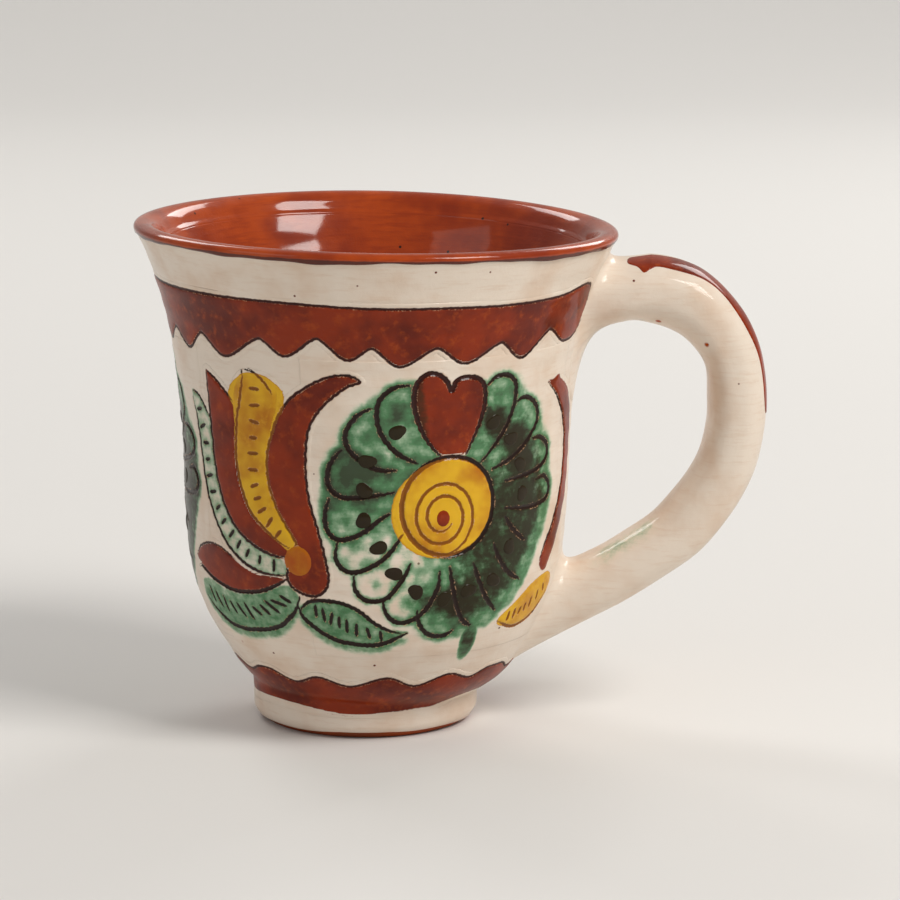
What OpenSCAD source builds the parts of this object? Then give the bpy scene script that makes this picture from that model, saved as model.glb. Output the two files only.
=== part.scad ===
// A wheel-thrown clay mug with a pulled loop handle. The red clay is coated with white slip,
// banded with brown slip, painted with flowers and leaves, and glazed clear inside.
// Z points up from the table, the cup's axis is the Z axis and the handle points along +X.

/* [Cup] */
// Height from the table to the top of the lip
cup_h = 94.8; // [88:0.2:102]
// Diameter across the lip
rim_d = 90; // [86:0.5:94]
// Diameter where the mouth starts to flare
flare_d = 77.4; // [76:0.2:79]
// Diameter at the waist
waist_d = 73.2; // [71:0.2:75]
// Diameter of the bowl above the foot
bowl_d = 58.6; // [56:0.2:61]
// Thickness of the clay wall under the lip
wall_t = 3.8; // [3.2:0.1:4.4]
// Thickness of the clay wall where it leaves the floor
heel_t = 8; // [6:0.2:9]
// Thickness of the floor above the hollow of the foot
floor_t = 6.6; // [5:0.2:8]

/* [Foot] */
// Diameter of the foot
foot_d = 42.2; // [40:0.2:44]
// Height of the foot up into the bowl
foot_h = 8.6; // [8.2:0.1:9]
// How far the foot stands off the cup's axis, away from the handle
foot_shift = 2; // [0.5:0.1:2.2]
// Width of the ring that the mug stands on
foot_ring_w = 6; // [4:0.5:8]
// Depth of the hollow under the foot
foot_hollow = 2.6; // [1.5:0.1:3.4]
// Rounding of the foot's outer edge
foot_round = 1.1; // [0.6:0.1:1.3]

/* [Handle] */
// Distance from the cup's axis to the outside of the handle
handle_reach = 72.6; // [68:0.2:78]
// How far the top of the handle's arch lies below the lip
handle_drop = 7.2; // [6:0.2:9]
// Height where the underside of the handle meets the bowl
handle_foot_z = 13.2; // [12.4:0.1:15]
// Thickness of the handle, across the loop
handle_thick = 10.2; // [8.5:0.1:11.5]
// Width of the handle, along Y
handle_wide = 16.4; // [14:0.2:18]

/* [Coats] */
// Thickness of the white slip
slip_t = 0.5; // [0.3:0.05:0.6]
// Thickness of the clear glaze on the inside
glaze_t = 0.4; // [0.3:0.05:0.6]
// Thickness of the coloured slips and glazes over the white
paint_t = 0.3; // [0.2:0.05:0.4]
// How far the bare lip runs down the outside below its rounding
lip_drop = 0.4; // [0.2:0.1:1]
// Height of the bare clay left at the bottom of the foot
bare_foot_h = 1.4; // [1.3:0.1:2]

/* [Bands] */
// Height of the white stripe between the lip and the upper band
white_stripe_h = 7.2; // [6:0.2:9]
// Height of the upper band down to its lowest lobes
band_h = 10.4; // [9:0.2:12]
// Depth of the scallops along the upper band's lower edge
scallop_h = 3.8; // [2.5:0.1:5]
// Angle left open for the handle on each side of it, in degrees
band_gap_angle = 20; // [18:1:24]
// Height from the table to the crests of the lower band
low_band_z = 13; // [12:0.1:13.4]
// Depth of the waves along the lower band's upper edge
wave_h = 1.6; // [1:0.1:2.2]

/* [Ornament] */
// Height of the white left between the upper band and the ornament
ornament_drop = 2.45; // [1.6:0.05:4]
// Height of the white left between the lower band and the ornament
ornament_rise = 9; // [7:0.2:11]
// Width of a flower over its petals, round the cup
flower_w = 47; // [42:0.5:48]
// Height of the white left above and below a flower's petals in the ornament's zone
flower_margin = 1.5; // [1:0.1:3]
// Diameter of a flower's yellow eye
eye_d = 17.6; // [14:0.2:18.4]
// Width of the white left between the eye and the petals
eye_gap = 1.5; // [1:0.1:2.4]
// Diameter of the brown dot in the eye
eye_dot_d = 4; // [3:0.2:4.6]
// Width of each cut line in the eye
eye_line_w = 0.9; // [0.6:0.1:1]
// Diameter of the dark dot in each petal
petal_dot_d = 3; // [2:0.1:3.4]
// Diameter of the ball where the tulip's petals meet
ball_d = 4.6; // [3.6:0.1:5.2]
// Petals in a flower, besides its heart
petal_count = 18; // [14:1:18]

/* [Hidden] */
$fn = 96;

clay_colour = "#a8552c";
white_slip_colour = "#ece0cf";
brown_slip_colour = "#6f2a14";
yellow_glaze_colour = "#d8a62a";
green_glaze_colour = "#4f8f6a";
dark_glaze_colour = "#3a2412";
clear_glaze_colour = "#b4531f";

wall_steps = 30;
arc_steps = 8;
handle_sides = 24;
handle_rings_per_span = 2;
overrun = 2;

// Heights of the wall's stations, as shares of the cup's height, and how its radius passes
// between the named diameters there
station_height_shares = [0.044, 0.097, 0.172, 0.227, 0.302, 0.422, 0.603, 0.797, 0.907];
heel_fill_share = 0.36;
bowl_fill_shares = [0.4, 0.73, 0.905];
mouth_fill_share = 0.49;
base_inset_share = 0.8;
ornament_w_share = 1.366;
lip_t = slip_t + wall_t + glaze_t;
arc_z = cup_h - lip_t / 2;
stripe_top_z = arc_z - lip_drop;
handle_top_z = cup_h - handle_drop;
base_z = station_height_shares[0] * cup_h;
stations = [
    [base_z, base_inset_share * foot_d / 2],
    [station_height_shares[1] * cup_h, mix(foot_d, bowl_d, heel_fill_share) / 2],
    [station_height_shares[2] * cup_h, bowl_d / 2],
    [station_height_shares[3] * cup_h, mix(bowl_d, waist_d, bowl_fill_shares[0]) / 2],
    [station_height_shares[4] * cup_h, mix(bowl_d, waist_d, bowl_fill_shares[1]) / 2],
    [station_height_shares[5] * cup_h, mix(bowl_d, waist_d, bowl_fill_shares[2]) / 2],
    [station_height_shares[6] * cup_h, waist_d / 2],
    [station_height_shares[7] * cup_h, flare_d / 2],
    [station_height_shares[8] * cup_h, mix(flare_d, rim_d, mouth_fill_share) / 2],
    [arc_z, rim_d / 2]];
floor_z = foot_hollow + floor_t;
band_top_z = stripe_top_z - white_stripe_h;
unroll_r = waist_d / 2;
ornament_w = ornament_w_share * unroll_r;
ornament_base_z = low_band_z + ornament_rise;
ornament_h = band_top_z - band_h - ornament_drop - ornament_base_z;
ornament_z = ornament_base_z + ornament_h / 2;

// The handle's stations, from its upper root to its lower one. Each row holds how far out it is
// between the wall and the outermost point, how high it is between the lower root and the top,
// the lean of its section as a share of a right angle, and its thickness and width
handle_station_shares = [
    [-0.11, 0.82, 0.91, 2.75, 1.45], [0.005, 0.845, 0.87, 2.3, 1.34], [0.075, 0.872, 0.82, 1.82, 1.22],
    [0.15, 0.898, 0.78, 1.5, 1.12], [0.24, 0.916, 0.74, 1.32, 1.06], [0.37, 0.922, 0.72, 1.2, 1.02],
    [0.51, 0.913, 0.69, 1.18, 1], [0.65, 0.894, 0.66, 1.15, 1], [0.775, 0.862, 0.59, 1.1, 1],
    [0.885, 0.815, 0.49, 1.05, 1], [0.95, 0.768, 0.37, 1, 1], [0.985, 0.716, 0.21, 0.98, 1],
    [1, 0.645, 0.04, 1, 0.99], [0.997, 0.575, -0.06, 1, 0.98], [0.957, 0.49, -0.14, 1.01, 0.97],
    [0.88, 0.42, -0.23, 1.01, 0.96], [0.77, 0.353, -0.33, 1.01, 0.95], [0.645, 0.293, -0.42, 1.01, 0.94],
    [0.48, 0.241, -0.5, 1.01, 0.94], [0.33, 0.196, -0.6, 1, 0.95], [0.225, 0.168, -0.71, 1.02, 0.98],
    [0.15, 0.156, -0.83, 1.16, 1.04], [0.07, 0.153, -0.96, 1.5, 1.14], [-0.01, 0.153, -1.04, 1.95, 1.28],
    [-0.13, 0.153, -1.08, 2.25, 1.4]];
right_angle = 90;
section_power = 2.5;
plug_share = 0.21;
stripe_length_shares = [0.145, 0.5];
stripe_sides = 4;

// Places of the ornaments round the cup, in degrees from the front (-Y) towards the handle
front_flower_angle = 20;
side_flower_angle = -103;
front_tulip_angle = -39;
back_tulip_angle = -181;
front_spray_angle = 66;
back_spray_angle = 180 - front_spray_angle;

// A flower's petals and its heart, from the edge of the eye. The heart's points are shares of the
// flower's width and of the petals' length; a petal's edge is an angle as a share of the petals'
// spacing and a share of their length
heart_shares = [[-0.02, 0.02], [-0.056, 0.2], [-0.096, 0.46], [-0.121, 0.76], [-0.115, 1.02],
    [-0.076, 1.13], [-0.025, 1.12], [0.017, 0.98], [0.056, 1.08], [0.107, 1.08], [0.146, 0.94],
    [0.149, 0.66], [0.129, 0.34], [0.093, 0.02]];
petal_shares = [[-0.3, 0], [-0.4, 0.32], [-0.44, 0.6], [-0.39, 0.82], [-0.2, 0.96], [0, 1],
    [0.2, 0.96], [0.39, 0.82], [0.44, 0.6], [0.4, 0.32], [0.3, 0]];
petal_dot_share = 0.41;
heart_half_angle = 28;
ring_radius_shares = [0.42, 0.68];
petal_length = flower_w / 2 - eye_d / 2 - eye_gap;

// Outlines on the unrolled wall, from the middle of each ornament, as shares of ornament_h
inner_petal_shares = [[0.42, 0.482], [0.36, 0.49], [0.28, 0.464], [0.204, 0.4], [0.14, 0.31],
    [0.104, 0.22], [0.094, 0.14], [0.104, 0.05], [0.134, -0.03], [0.166, -0.1], [0.166, -0.18],
    [0.154, -0.24], [0.174, -0.3], [0.24, -0.33], [0.3, -0.316], [0.316, -0.26], [0.296, -0.16],
    [0.264, -0.06], [0.24, 0.04], [0.236, 0.14], [0.248, 0.24], [0.276, 0.33], [0.33, 0.41]];
outer_petal_shares = [[-0.2, 0.44], [-0.14, 0.414], [-0.092, 0.366], [-0.074, 0.3], [-0.072, 0.21],
    [-0.06, 0.12], [-0.03, 0.03], [0.02, -0.048], [0.08, -0.114], [0.124, -0.156], [0.122, -0.178],
    [0.07, -0.176], [0, -0.146], [-0.064, -0.086], [-0.124, -0.004], [-0.17, 0.09], [-0.192, 0.2],
    [-0.198, 0.32]];
tulip_leaf_shares = [[0.004, 0.485], [-0.012, 0.42], [-0.034, 0.32], [-0.044, 0.22], [-0.036, 0.12],
    [-0.006, 0.04], [0.042, -0.036], [0.1, -0.096], [0.134, -0.112], [0.12, -0.056], [0.084, 0.02],
    [0.072, 0.13], [0.082, 0.23], [0.112, 0.316], [0.144, 0.39], [0.132, 0.45], [0.07, 0.484]];
side_leaf_shares = [[-0.33, 0.35], [-0.276, 0.34], [-0.226, 0.296], [-0.218, 0.21], [-0.198, 0.1],
    [-0.152, -0.004], [-0.092, -0.094], [-0.024, -0.156], [0.05, -0.2], [0.12, -0.212],
    [0.12, -0.24], [0.05, -0.246], [-0.04, -0.228], [-0.12, -0.18], [-0.184, -0.114],
    [-0.236, -0.03], [-0.27, 0.06], [-0.288, 0.16], [-0.31, 0.26]];
base_leaf_shares = [[-0.41, -0.274], [-0.34, -0.234], [-0.27, -0.204], [-0.2, -0.2], [-0.14, -0.222],
    [-0.07, -0.254], [0.02, -0.27], [0.118, -0.27], [0.112, -0.284], [0.06, -0.308],
    [-0.02, -0.332], [-0.12, -0.346], [-0.22, -0.344], [-0.32, -0.32]];
low_leaf_shares = [[0.184, -0.354], [0.156, -0.4], [0.1, -0.44], [0.02, -0.472], [-0.08, -0.488],
    [-0.18, -0.494], [-0.28, -0.484], [-0.36, -0.448], [-0.41, -0.4], [-0.36, -0.368],
    [-0.26, -0.37], [-0.14, -0.374], [-0.03, -0.362], [0.07, -0.338], [0.146, -0.322]];
mid_leaf_shares = [[0.21, -0.384], [0.26, -0.366], [0.33, -0.354], [0.4, -0.368], [0.46, -0.402],
    [0.52, -0.444], [0.6, -0.476], [0.57, -0.496], [0.5, -0.508], [0.42, -0.506], [0.34, -0.482],
    [0.27, -0.444]];
crescent_shares = [[-0.12, 0.42], [-0.04, 0.42], [0.03, 0.36], [0.09, 0.28], [0.122, 0.19],
    [0.13, 0.09], [0.106, -0.02], [0.06, -0.12], [0.01, -0.21], [-0.05, -0.27], [-0.076, -0.25],
    [-0.03, -0.17], [0.02, -0.08], [0.046, 0.02], [0.05, 0.12], [0.024, 0.22], [-0.024, 0.31],
    [-0.08, 0.38]];
small_leaf_shares = [[-0.28, -0.466], [-0.21, -0.424], [-0.14, -0.38], [-0.07, -0.344],
    [-0.01, -0.326], [0.014, -0.36], [-0.02, -0.42], [-0.08, -0.464], [-0.15, -0.486],
    [-0.22, -0.486]];
ball_place_share = [0.215, -0.25];
outline_points_per_span = 2;
ellipse_points = 48;

// Clear strip between a leaf and the flower beside it
leaf_gap = 0.4;

// Edges of one notch in each band, as shares of the notch's spacing and of its depth
scallop_count = 19;
wave_count = 14;
scallop_notch_shares = [[-0.36, 0], [-0.25, 0.18], [-0.15, 0.46], [-0.06, 0.84], [0, 1], [0.06, 0.84],
    [0.15, 0.46], [0.25, 0.18], [0.36, 0]];
wave_notch_shares = [[-0.4, 0], [-0.24, 0.5], [-0.1, 0.94], [0.1, 0.94], [0.24, 0.5], [0.4, 0]];

function mix(a, b, share) = a + (b - a) * share;
function last_of(list) = len(list) - 1;

// Radius of the mug's outer skin at a height: a smooth curve through the stations
function station_at(z, i = 0) =
    i >= last_of(stations) - 1 || z <= stations[i + 1][0] ? i : station_at(z, i + 1);
function station_slope(i) =
    let (a = max(i - 1, 0), b = min(i + 1, last_of(stations)))
    (stations[b][1] - stations[a][1]) / (stations[b][0] - stations[a][0]);
function wall_r(z) =
    let (i = station_at(z), p = stations[i], q = stations[i + 1], h = q[0] - p[0], t = (z - p[0]) / h)
    p[1] * (2 * t ^ 3 - 3 * t ^ 2 + 1) + q[1] * (3 * t ^ 2 - 2 * t ^ 3)
    + h * station_slope(i) * (t ^ 3 - 2 * t ^ 2 + t) + h * station_slope(i + 1) * (t ^ 3 - t ^ 2);

// The clay wall thickens towards the floor
function clay_t(z) = wall_t + (heel_t - wall_t) * (1 - (z - floor_z) / (arc_z - floor_z)) ^ 9;
function inner_r(z) = wall_r(z) - slip_t - clay_t(z);

// Heights shared by every layer, so that the layers meet face to face
wall_z = [for (i = [0:wall_steps]) mix(base_z, stripe_top_z, i / wall_steps)];
inner_z = [for (i = [0:wall_steps]) mix(floor_z, stripe_top_z, i / wall_steps)];
function outer_line(out) = [for (z = wall_z) [wall_r(z) + out, z]];
function inner_line(out) = [for (z = inner_z) [inner_r(z) - out, z]];
function reversed(list) = [for (i = [last_of(list):-1:0]) list[i]];

// Half round of the lip, from outside to inside, about the middle of the wall
function lip_arc(radius, middle) = [for (i = [0:arc_steps])
    let (a = 180 * i / arc_steps) [middle + radius * cos(a), arc_z + radius * sin(a)]];
clay_lip_r = rim_d / 2 - slip_t - wall_t / 2;
skin_lip_r = rim_d / 2 - lip_t / 2;

// Smooth closed and open curves through points
function blend(a, b, c, d, t) =
    0.5 * (2 * b + (c - a) * t + (2 * a - 5 * b + 4 * c - d) * t ^ 2 + (3 * b - a - 3 * c + d) * t ^ 3);
function closed_curve(p, n) = [for (i = [0:last_of(p)]) for (k = [0:n - 1])
    let (m = len(p)) blend(p[(i + m - 1) % m], p[i], p[(i + 1) % m], p[(i + 2) % m], k / n)];
function open_value(p, s) =
    let (i = max(min(floor(s), last_of(p) - 1), 0), t = s - i)
    blend(p[max(i - 1, 0)], p[i], p[i + 1], p[min(i + 2, last_of(p))], t);

// An unrolled outline laid flat in front of the wall, so that it keeps its width along the curve
function flattened(points) = [for (p = points)
    [unroll_r * sin(p[0] / unroll_r * 180 / PI), ornament_z + p[1]]];
function outline(shares) = flattened(closed_curve(
    [for (p = shares) [p[0] * ornament_w, p[1] * ornament_h]], outline_points_per_span));

// The handle's section is an oval that leans as the loop turns
function station_value(s, column) = open_value([for (row = handle_station_shares) row[column]], s);
function handle_z(s) = mix(handle_foot_z, handle_top_z, station_value(s, 1));
function handle_x(s) = mix(wall_r(handle_z(s)), handle_reach - handle_thick / 2, station_value(s, 0));
function oval(c) = sign(c) * abs(c) ^ (2 / section_power);
function handle_point(s, side, grow) =
    let (lean = right_angle * station_value(s, 2), angle = 360 * side / handle_sides,
        a = (handle_thick / 2 * station_value(s, 3) + grow) * oval(cos(angle)),
        b = (handle_wide / 2 * station_value(s, 4) + grow) * oval(sin(angle)))
    [handle_x(s) + a * cos(lean), b, handle_z(s) + a * sin(lean)];
function handle_ring(s, grow) = [for (side = [0:handle_sides - 1]) handle_point(s, side, grow)];
function spans(first, last) = [for (i = [0:(last - first) * handle_rings_per_span])
    first + i / handle_rings_per_span];
handle_last = last_of(handle_station_shares);
function handle_station(share) = round(share * handle_last * handle_rings_per_span) / handle_rings_per_span;

// Faces round a row of rings, each of m points
function side_faces(rings, m, start = 0) = [for (i = [0:rings - 2]) for (k = [0:m - 1])
    let (a = start + i * m + k, b = start + i * m + (k + 1) % m) [a, b, b + m, a + m]];
module lofted(rings) {
    m = len(rings[0]);
    n = len(rings);
    polyhedron(
        points = [for (ring = rings) for (p = ring) p],
        faces = concat(
            side_faces(n, m),
            [[for (k = [m - 1:-1:0]) k]],
            [[for (k = [0:m - 1]) (n - 1) * m + k]]));
}
module handle_solid(first, last, grow) {
    lofted([for (s = spans(first, last)) handle_ring(s, grow)]);
}
module handle_sleeve(grow) {
    outer = [for (s = spans(0, handle_last)) handle_ring(s, grow)];
    inner = [for (s = spans(0, handle_last)) handle_ring(s, 0)];
    m = handle_sides;
    n = len(outer);
    polyhedron(
        points = concat([for (ring = outer) for (p = ring) p], [for (ring = inner) for (p = ring) p]),
        faces = concat(
            side_faces(n, m),
            [for (f = side_faces(n, m, n * m)) reversed(f)],
            [for (k = [0:m - 1]) let (j = (k + 1) % m) [j, k, n * m + k, n * m + j]],
            [for (k = [0:m - 1]) let (j = (k + 1) % m, e = (n - 1) * m)
                [e + k, e + j, n * m + e + j, n * m + e + k]]));
}

// The cup as if it were solid, out to a given distance from its outer skin
module filled_cup(out) {
    rotate_extrude()
        polygon(concat([[0, base_z]], outer_line(out), [[0, stripe_top_z]]));
}
module foot_blank(inset) {
    translate([-foot_shift, 0, 0])
        cylinder(h = foot_h, r = foot_d / 2 - inset);
}

module clay_body() {
    color(clay_colour)
        union() {
            rotate_extrude()
                polygon(concat([[0, base_z]], outer_line(-slip_t), lip_arc(wall_t / 2, clay_lip_r),
                    reversed(inner_line(0)), [[0, floor_z]]));
            translate([-foot_shift, 0, 0])
                rotate_extrude()
                    polygon(foot_outline());
        }
}

// The foot's section: its bare bottom edge is rounded and reaches out to the slip's outer face
function foot_outline() =
    let (r = foot_d / 2, hollow_r = r - foot_ring_w)
    concat([[0, foot_h], [0, foot_hollow], [hollow_r - foot_round, foot_hollow], [hollow_r, 0]],
        [for (i = [0:arc_steps]) let (a = -90 + 90 * i / arc_steps)
            [r - foot_round + foot_round * cos(a), foot_round + foot_round * sin(a)]],
        [[r, bare_foot_h], [r - slip_t, bare_foot_h], [r - slip_t, foot_h]]);

module handle() {
    color(clay_colour)
        difference() {
            handle_solid(0, handle_last, 0);
            filled_cup(-slip_t);
        }
}

module body_slip() {
    color(white_slip_colour)
        difference() {
            rotate_extrude()
                polygon(concat(outer_line(0), reversed(outer_line(-slip_t))));
            foot_blank(0);
            handle_solid(0, handle_station(plug_share), 0);
            handle_solid(handle_station(1 - plug_share), handle_last, 0);
        }
}

module foot_slip() {
    r = foot_d / 2;
    color(white_slip_colour)
        difference() {
            translate([-foot_shift, 0, bare_foot_h])
                difference() {
                    cylinder(h = foot_h - bare_foot_h, r = r);
                    translate([0, 0, -overrun])
                        cylinder(h = foot_h + overrun, r = r - slip_t);
                }
            filled_cup(-slip_t);
        }
}

module handle_slip() {
    color(white_slip_colour)
        difference() {
            handle_sleeve(slip_t);
            filled_cup(0);
        }
}

module lining_glaze() {
    color(clear_glaze_colour)
        rotate_extrude()
            polygon(concat([[0, floor_z]], inner_line(0), reversed(inner_line(glaze_t)),
                [[inner_r(floor_z) - glaze_t, floor_z + glaze_t], [0, floor_z + glaze_t]]));
}

// The glaze rolls over the lip and ends where the white slip and the lining begin
module lip_glaze() {
    color(clear_glaze_colour)
        rotate_extrude()
            polygon(concat(
                [[wall_r(stripe_top_z), stripe_top_z]], lip_arc(lip_t / 2, skin_lip_r),
                [[inner_r(stripe_top_z) - glaze_t, stripe_top_z], [inner_r(stripe_top_z), stripe_top_z]],
                reversed(lip_arc(wall_t / 2, clay_lip_r)),
                [[wall_r(stripe_top_z) - slip_t, stripe_top_z]]));
}

// A skin of paint over the white slip between two heights; level 2 lies on level 1
function paint_line(low, high, out) = concat(
    [[wall_r(low) + out, low]],
    [for (z = wall_z) if (z > low && z < high) [wall_r(z) + out, z]],
    [[wall_r(high) + out, high]]);
function skin_section(low, high, level) = concat(
    paint_line(low, high, level * paint_t),
    reversed(paint_line(low, high, (level - 1) * paint_t)));
function wall_z_below(z) = max([for (w = wall_z) if (w <= z) w]);
function wall_z_above(z) = min([for (w = wall_z) if (w >= z) w]);
module paint_skin(low, high, level) {
    a = max(wall_z_below(max(low, base_z)), base_z);
    b = wall_z_above(min(high, stripe_top_z));
    rotate_extrude()
        polygon(skin_section(a, b, level));
}

// A straight prism of an outline, cut towards the cup from outside at an angle round it
module stamp(angle) {
    rotate([0, 0, angle])
        rotate([90, 0, 0])
            linear_extrude(rim_d / 2 + overrun)
                children();
}
module painted(angle, points, level = 1) {
    heights = [for (p = points) p[1]];
    intersection() {
        paint_skin(min(heights), max(heights), level);
        stamp(angle)
            polygon(points);
    }
}
module painted_disc(angle, place, d, level = 1) {
    x = unroll_r * sin(place[0] / unroll_r * 180 / PI);
    z = ornament_z + place[1];
    intersection() {
        paint_skin(z - d / 2, z + d / 2, level);
        stamp(angle)
            translate([x, z])
                circle(d = d);
    }
}

// A band of the ornament's paint, open for the handle where a gap is given
module band_skin(low, high, gap) {
    rotate([0, 0, gap])
        rotate_extrude(angle = 360 - 2 * gap)
            polygon(skin_section(low, high, 1));
}
module notches(count, shares, base, depth, below) {
    pitch = 2 * PI * unroll_r / count;
    half_share = shares[last_of(shares)][0];
    far = base - sign(depth) * overrun;
    points = concat([for (p = shares) [p[0] * pitch, base + p[1] * depth]],
        [[half_share * pitch, far], [-half_share * pitch, far]]);
    for (i = [0:count - 1])
        rotate([0, 0, 90 + (i + 0.5) * 360 / count])
            translate([0, -below, 0])
                rotate([90, 0, 0])
                    linear_extrude(rim_d / 2)
                        polygon(points);
}

module upper_band() {
    low = band_top_z - band_h;
    color(brown_slip_colour)
        difference() {
            band_skin(low, band_top_z, band_gap_angle);
            notches(scallop_count, scallop_notch_shares, low, scallop_h, unroll_r - overrun);
        }
}
module lower_band() {
    color(brown_slip_colour)
        difference() {
            rotate_extrude()
                polygon(skin_section(base_z, low_band_z, 1));
            foot_blank(0);
            notches(wave_count, wave_notch_shares, low_band_z, -wave_h, foot_d / 2 - overrun);
        }
}

// The stripe lies on the handle's outer spine
module handle_stripe() {
    sides = [-stripe_sides / 2:stripe_sides / 2];
    first = handle_station(stripe_length_shares[0]);
    last = handle_station(stripe_length_shares[1]);
    color(brown_slip_colour)
        lofted([for (s = spans(first, last)) concat(
            [for (k = sides) handle_point(s, k, slip_t + paint_t)],
            reversed([for (k = sides) handle_point(s, k, slip_t)]))]);
}

// A flower is drawn round and then made as high as its zone
flower_h = ornament_h - 2 * flower_margin;
flower_stretch = flower_h / flower_w;
function polar(angle, radius) = [radius * cos(angle), radius * sin(angle) * flower_stretch];
module ellipse(width) {
    polygon(flattened([for (i = [0:ellipse_points - 1]) polar(360 * i / ellipse_points, width / 2)]));
}
petal_pitch = (360 - 2 * heart_half_angle) / (petal_count - 1);
function petal_angle(i) = 90 + heart_half_angle + i * petal_pitch;
function petal_radius(share) = eye_d / 2 + eye_gap + share * petal_length;
module petals(angle) {
    color(green_glaze_colour)
        for (i = [0:petal_count - 1])
            painted(angle, flattened([for (p = petal_shares)
                polar(petal_angle(i) + p[0] * petal_pitch, petal_radius(p[1]))]));
}
module petal_dots(angle) {
    color(dark_glaze_colour)
        for (i = [0:petal_count - 1])
            painted_disc(angle, polar(petal_angle(i), petal_radius(petal_dot_share)), petal_dot_d, 2);
}
module heart(angle) {
    points = closed_curve([for (p = heart_shares)
        [p[0] * flower_w, petal_radius(p[1]) * flower_stretch]], outline_points_per_span);
    color(brown_slip_colour)
        painted(angle, flattened(points));
}

// The eye is a yellow disc that two cut rings part into three
module eye(angle) {
    eye_h = eye_d * flower_stretch;
    color(yellow_glaze_colour)
        intersection() {
            paint_skin(ornament_z - eye_h / 2, ornament_z + eye_h / 2, 1);
            stamp(angle)
                difference() {
                    ellipse(eye_d);
                    for (share = ring_radius_shares)
                        difference() {
                            ellipse(share * eye_d + eye_line_w);
                            ellipse(share * eye_d - eye_line_w);
                        }
                }
        }
}
module eye_dot(angle) {
    color(brown_slip_colour)
        painted_disc(angle, [0, 0], eye_dot_d, 2);
}
// A leaf or petal stops short of the flowers beside it
module leaf(angle, shares, colour) {
    color(colour)
        difference() {
            painted(angle, outline(shares));
            for (flower = [front_flower_angle, side_flower_angle])
                stamp(flower)
                    ellipse(flower_w + 2 * leaf_gap);
        }
}
module ball(angle) {
    place = [ball_place_share[0] * ornament_w, ball_place_share[1] * ornament_h];
    color(yellow_glaze_colour)
        painted_disc(angle, place, ball_d, 2);
}
module brown_leaf(angle, shares) {
    leaf(angle, shares, brown_slip_colour);
}
module green_leaf(angle, shares) {
    leaf(angle, shares, green_glaze_colour);
}
module yellow_leaf(angle, shares) {
    leaf(angle, shares, yellow_glaze_colour);
}
function mirrored(shares) = reversed([for (p = shares) [-p[0], p[1]]]);

clay_body();
handle();
body_slip();
foot_slip();
handle_slip();
lining_glaze();
lip_glaze();
upper_band();
lower_band();
handle_stripe();
petals(front_flower_angle);  // front_petals
petal_dots(front_flower_angle);  // front_petal_dots
heart(front_flower_angle);  // front_heart
eye(front_flower_angle);  // front_eye
eye_dot(front_flower_angle);  // front_eye_dot
petals(side_flower_angle);  // side_petals
petal_dots(side_flower_angle);  // side_petal_dots
heart(side_flower_angle);  // side_heart
eye(side_flower_angle);  // side_eye
eye_dot(side_flower_angle);  // side_eye_dot
brown_leaf(front_tulip_angle, inner_petal_shares);  // front_tulip_inner
brown_leaf(front_tulip_angle, outer_petal_shares);  // front_tulip_outer
yellow_leaf(front_tulip_angle, tulip_leaf_shares);  // front_tulip_leaf
green_leaf(front_tulip_angle, side_leaf_shares);  // front_side_leaf
brown_leaf(front_tulip_angle, base_leaf_shares);  // front_base_leaf
ball(front_tulip_angle);  // front_ball
green_leaf(front_tulip_angle, low_leaf_shares);  // front_low_leaf
green_leaf(front_tulip_angle, mid_leaf_shares);  // front_mid_leaf
brown_leaf(back_tulip_angle, inner_petal_shares);  // back_tulip_inner
brown_leaf(back_tulip_angle, outer_petal_shares);  // back_tulip_outer
yellow_leaf(back_tulip_angle, tulip_leaf_shares);  // back_tulip_leaf
green_leaf(back_tulip_angle, side_leaf_shares);  // back_side_leaf
brown_leaf(back_tulip_angle, base_leaf_shares);  // back_base_leaf
ball(back_tulip_angle);  // back_ball
green_leaf(back_tulip_angle, low_leaf_shares);  // back_low_leaf
green_leaf(back_tulip_angle, mid_leaf_shares);  // back_mid_leaf
brown_leaf(front_spray_angle, crescent_shares);  // front_crescent
yellow_leaf(front_spray_angle, small_leaf_shares);  // front_small_leaf
brown_leaf(back_spray_angle, mirrored(crescent_shares));  // back_crescent
yellow_leaf(back_spray_angle, mirrored(small_leaf_shares));  // back_small_leaf
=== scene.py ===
"""A wheel-thrown clay mug with carved and painted slip under clear glaze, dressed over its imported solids.

Lengths inside the functions are millimetres. A place on the wall is written (s, z): s runs round the
mug from the middle of the front towards the handle, measured at the waist, and z runs up from the table.
"""

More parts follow.
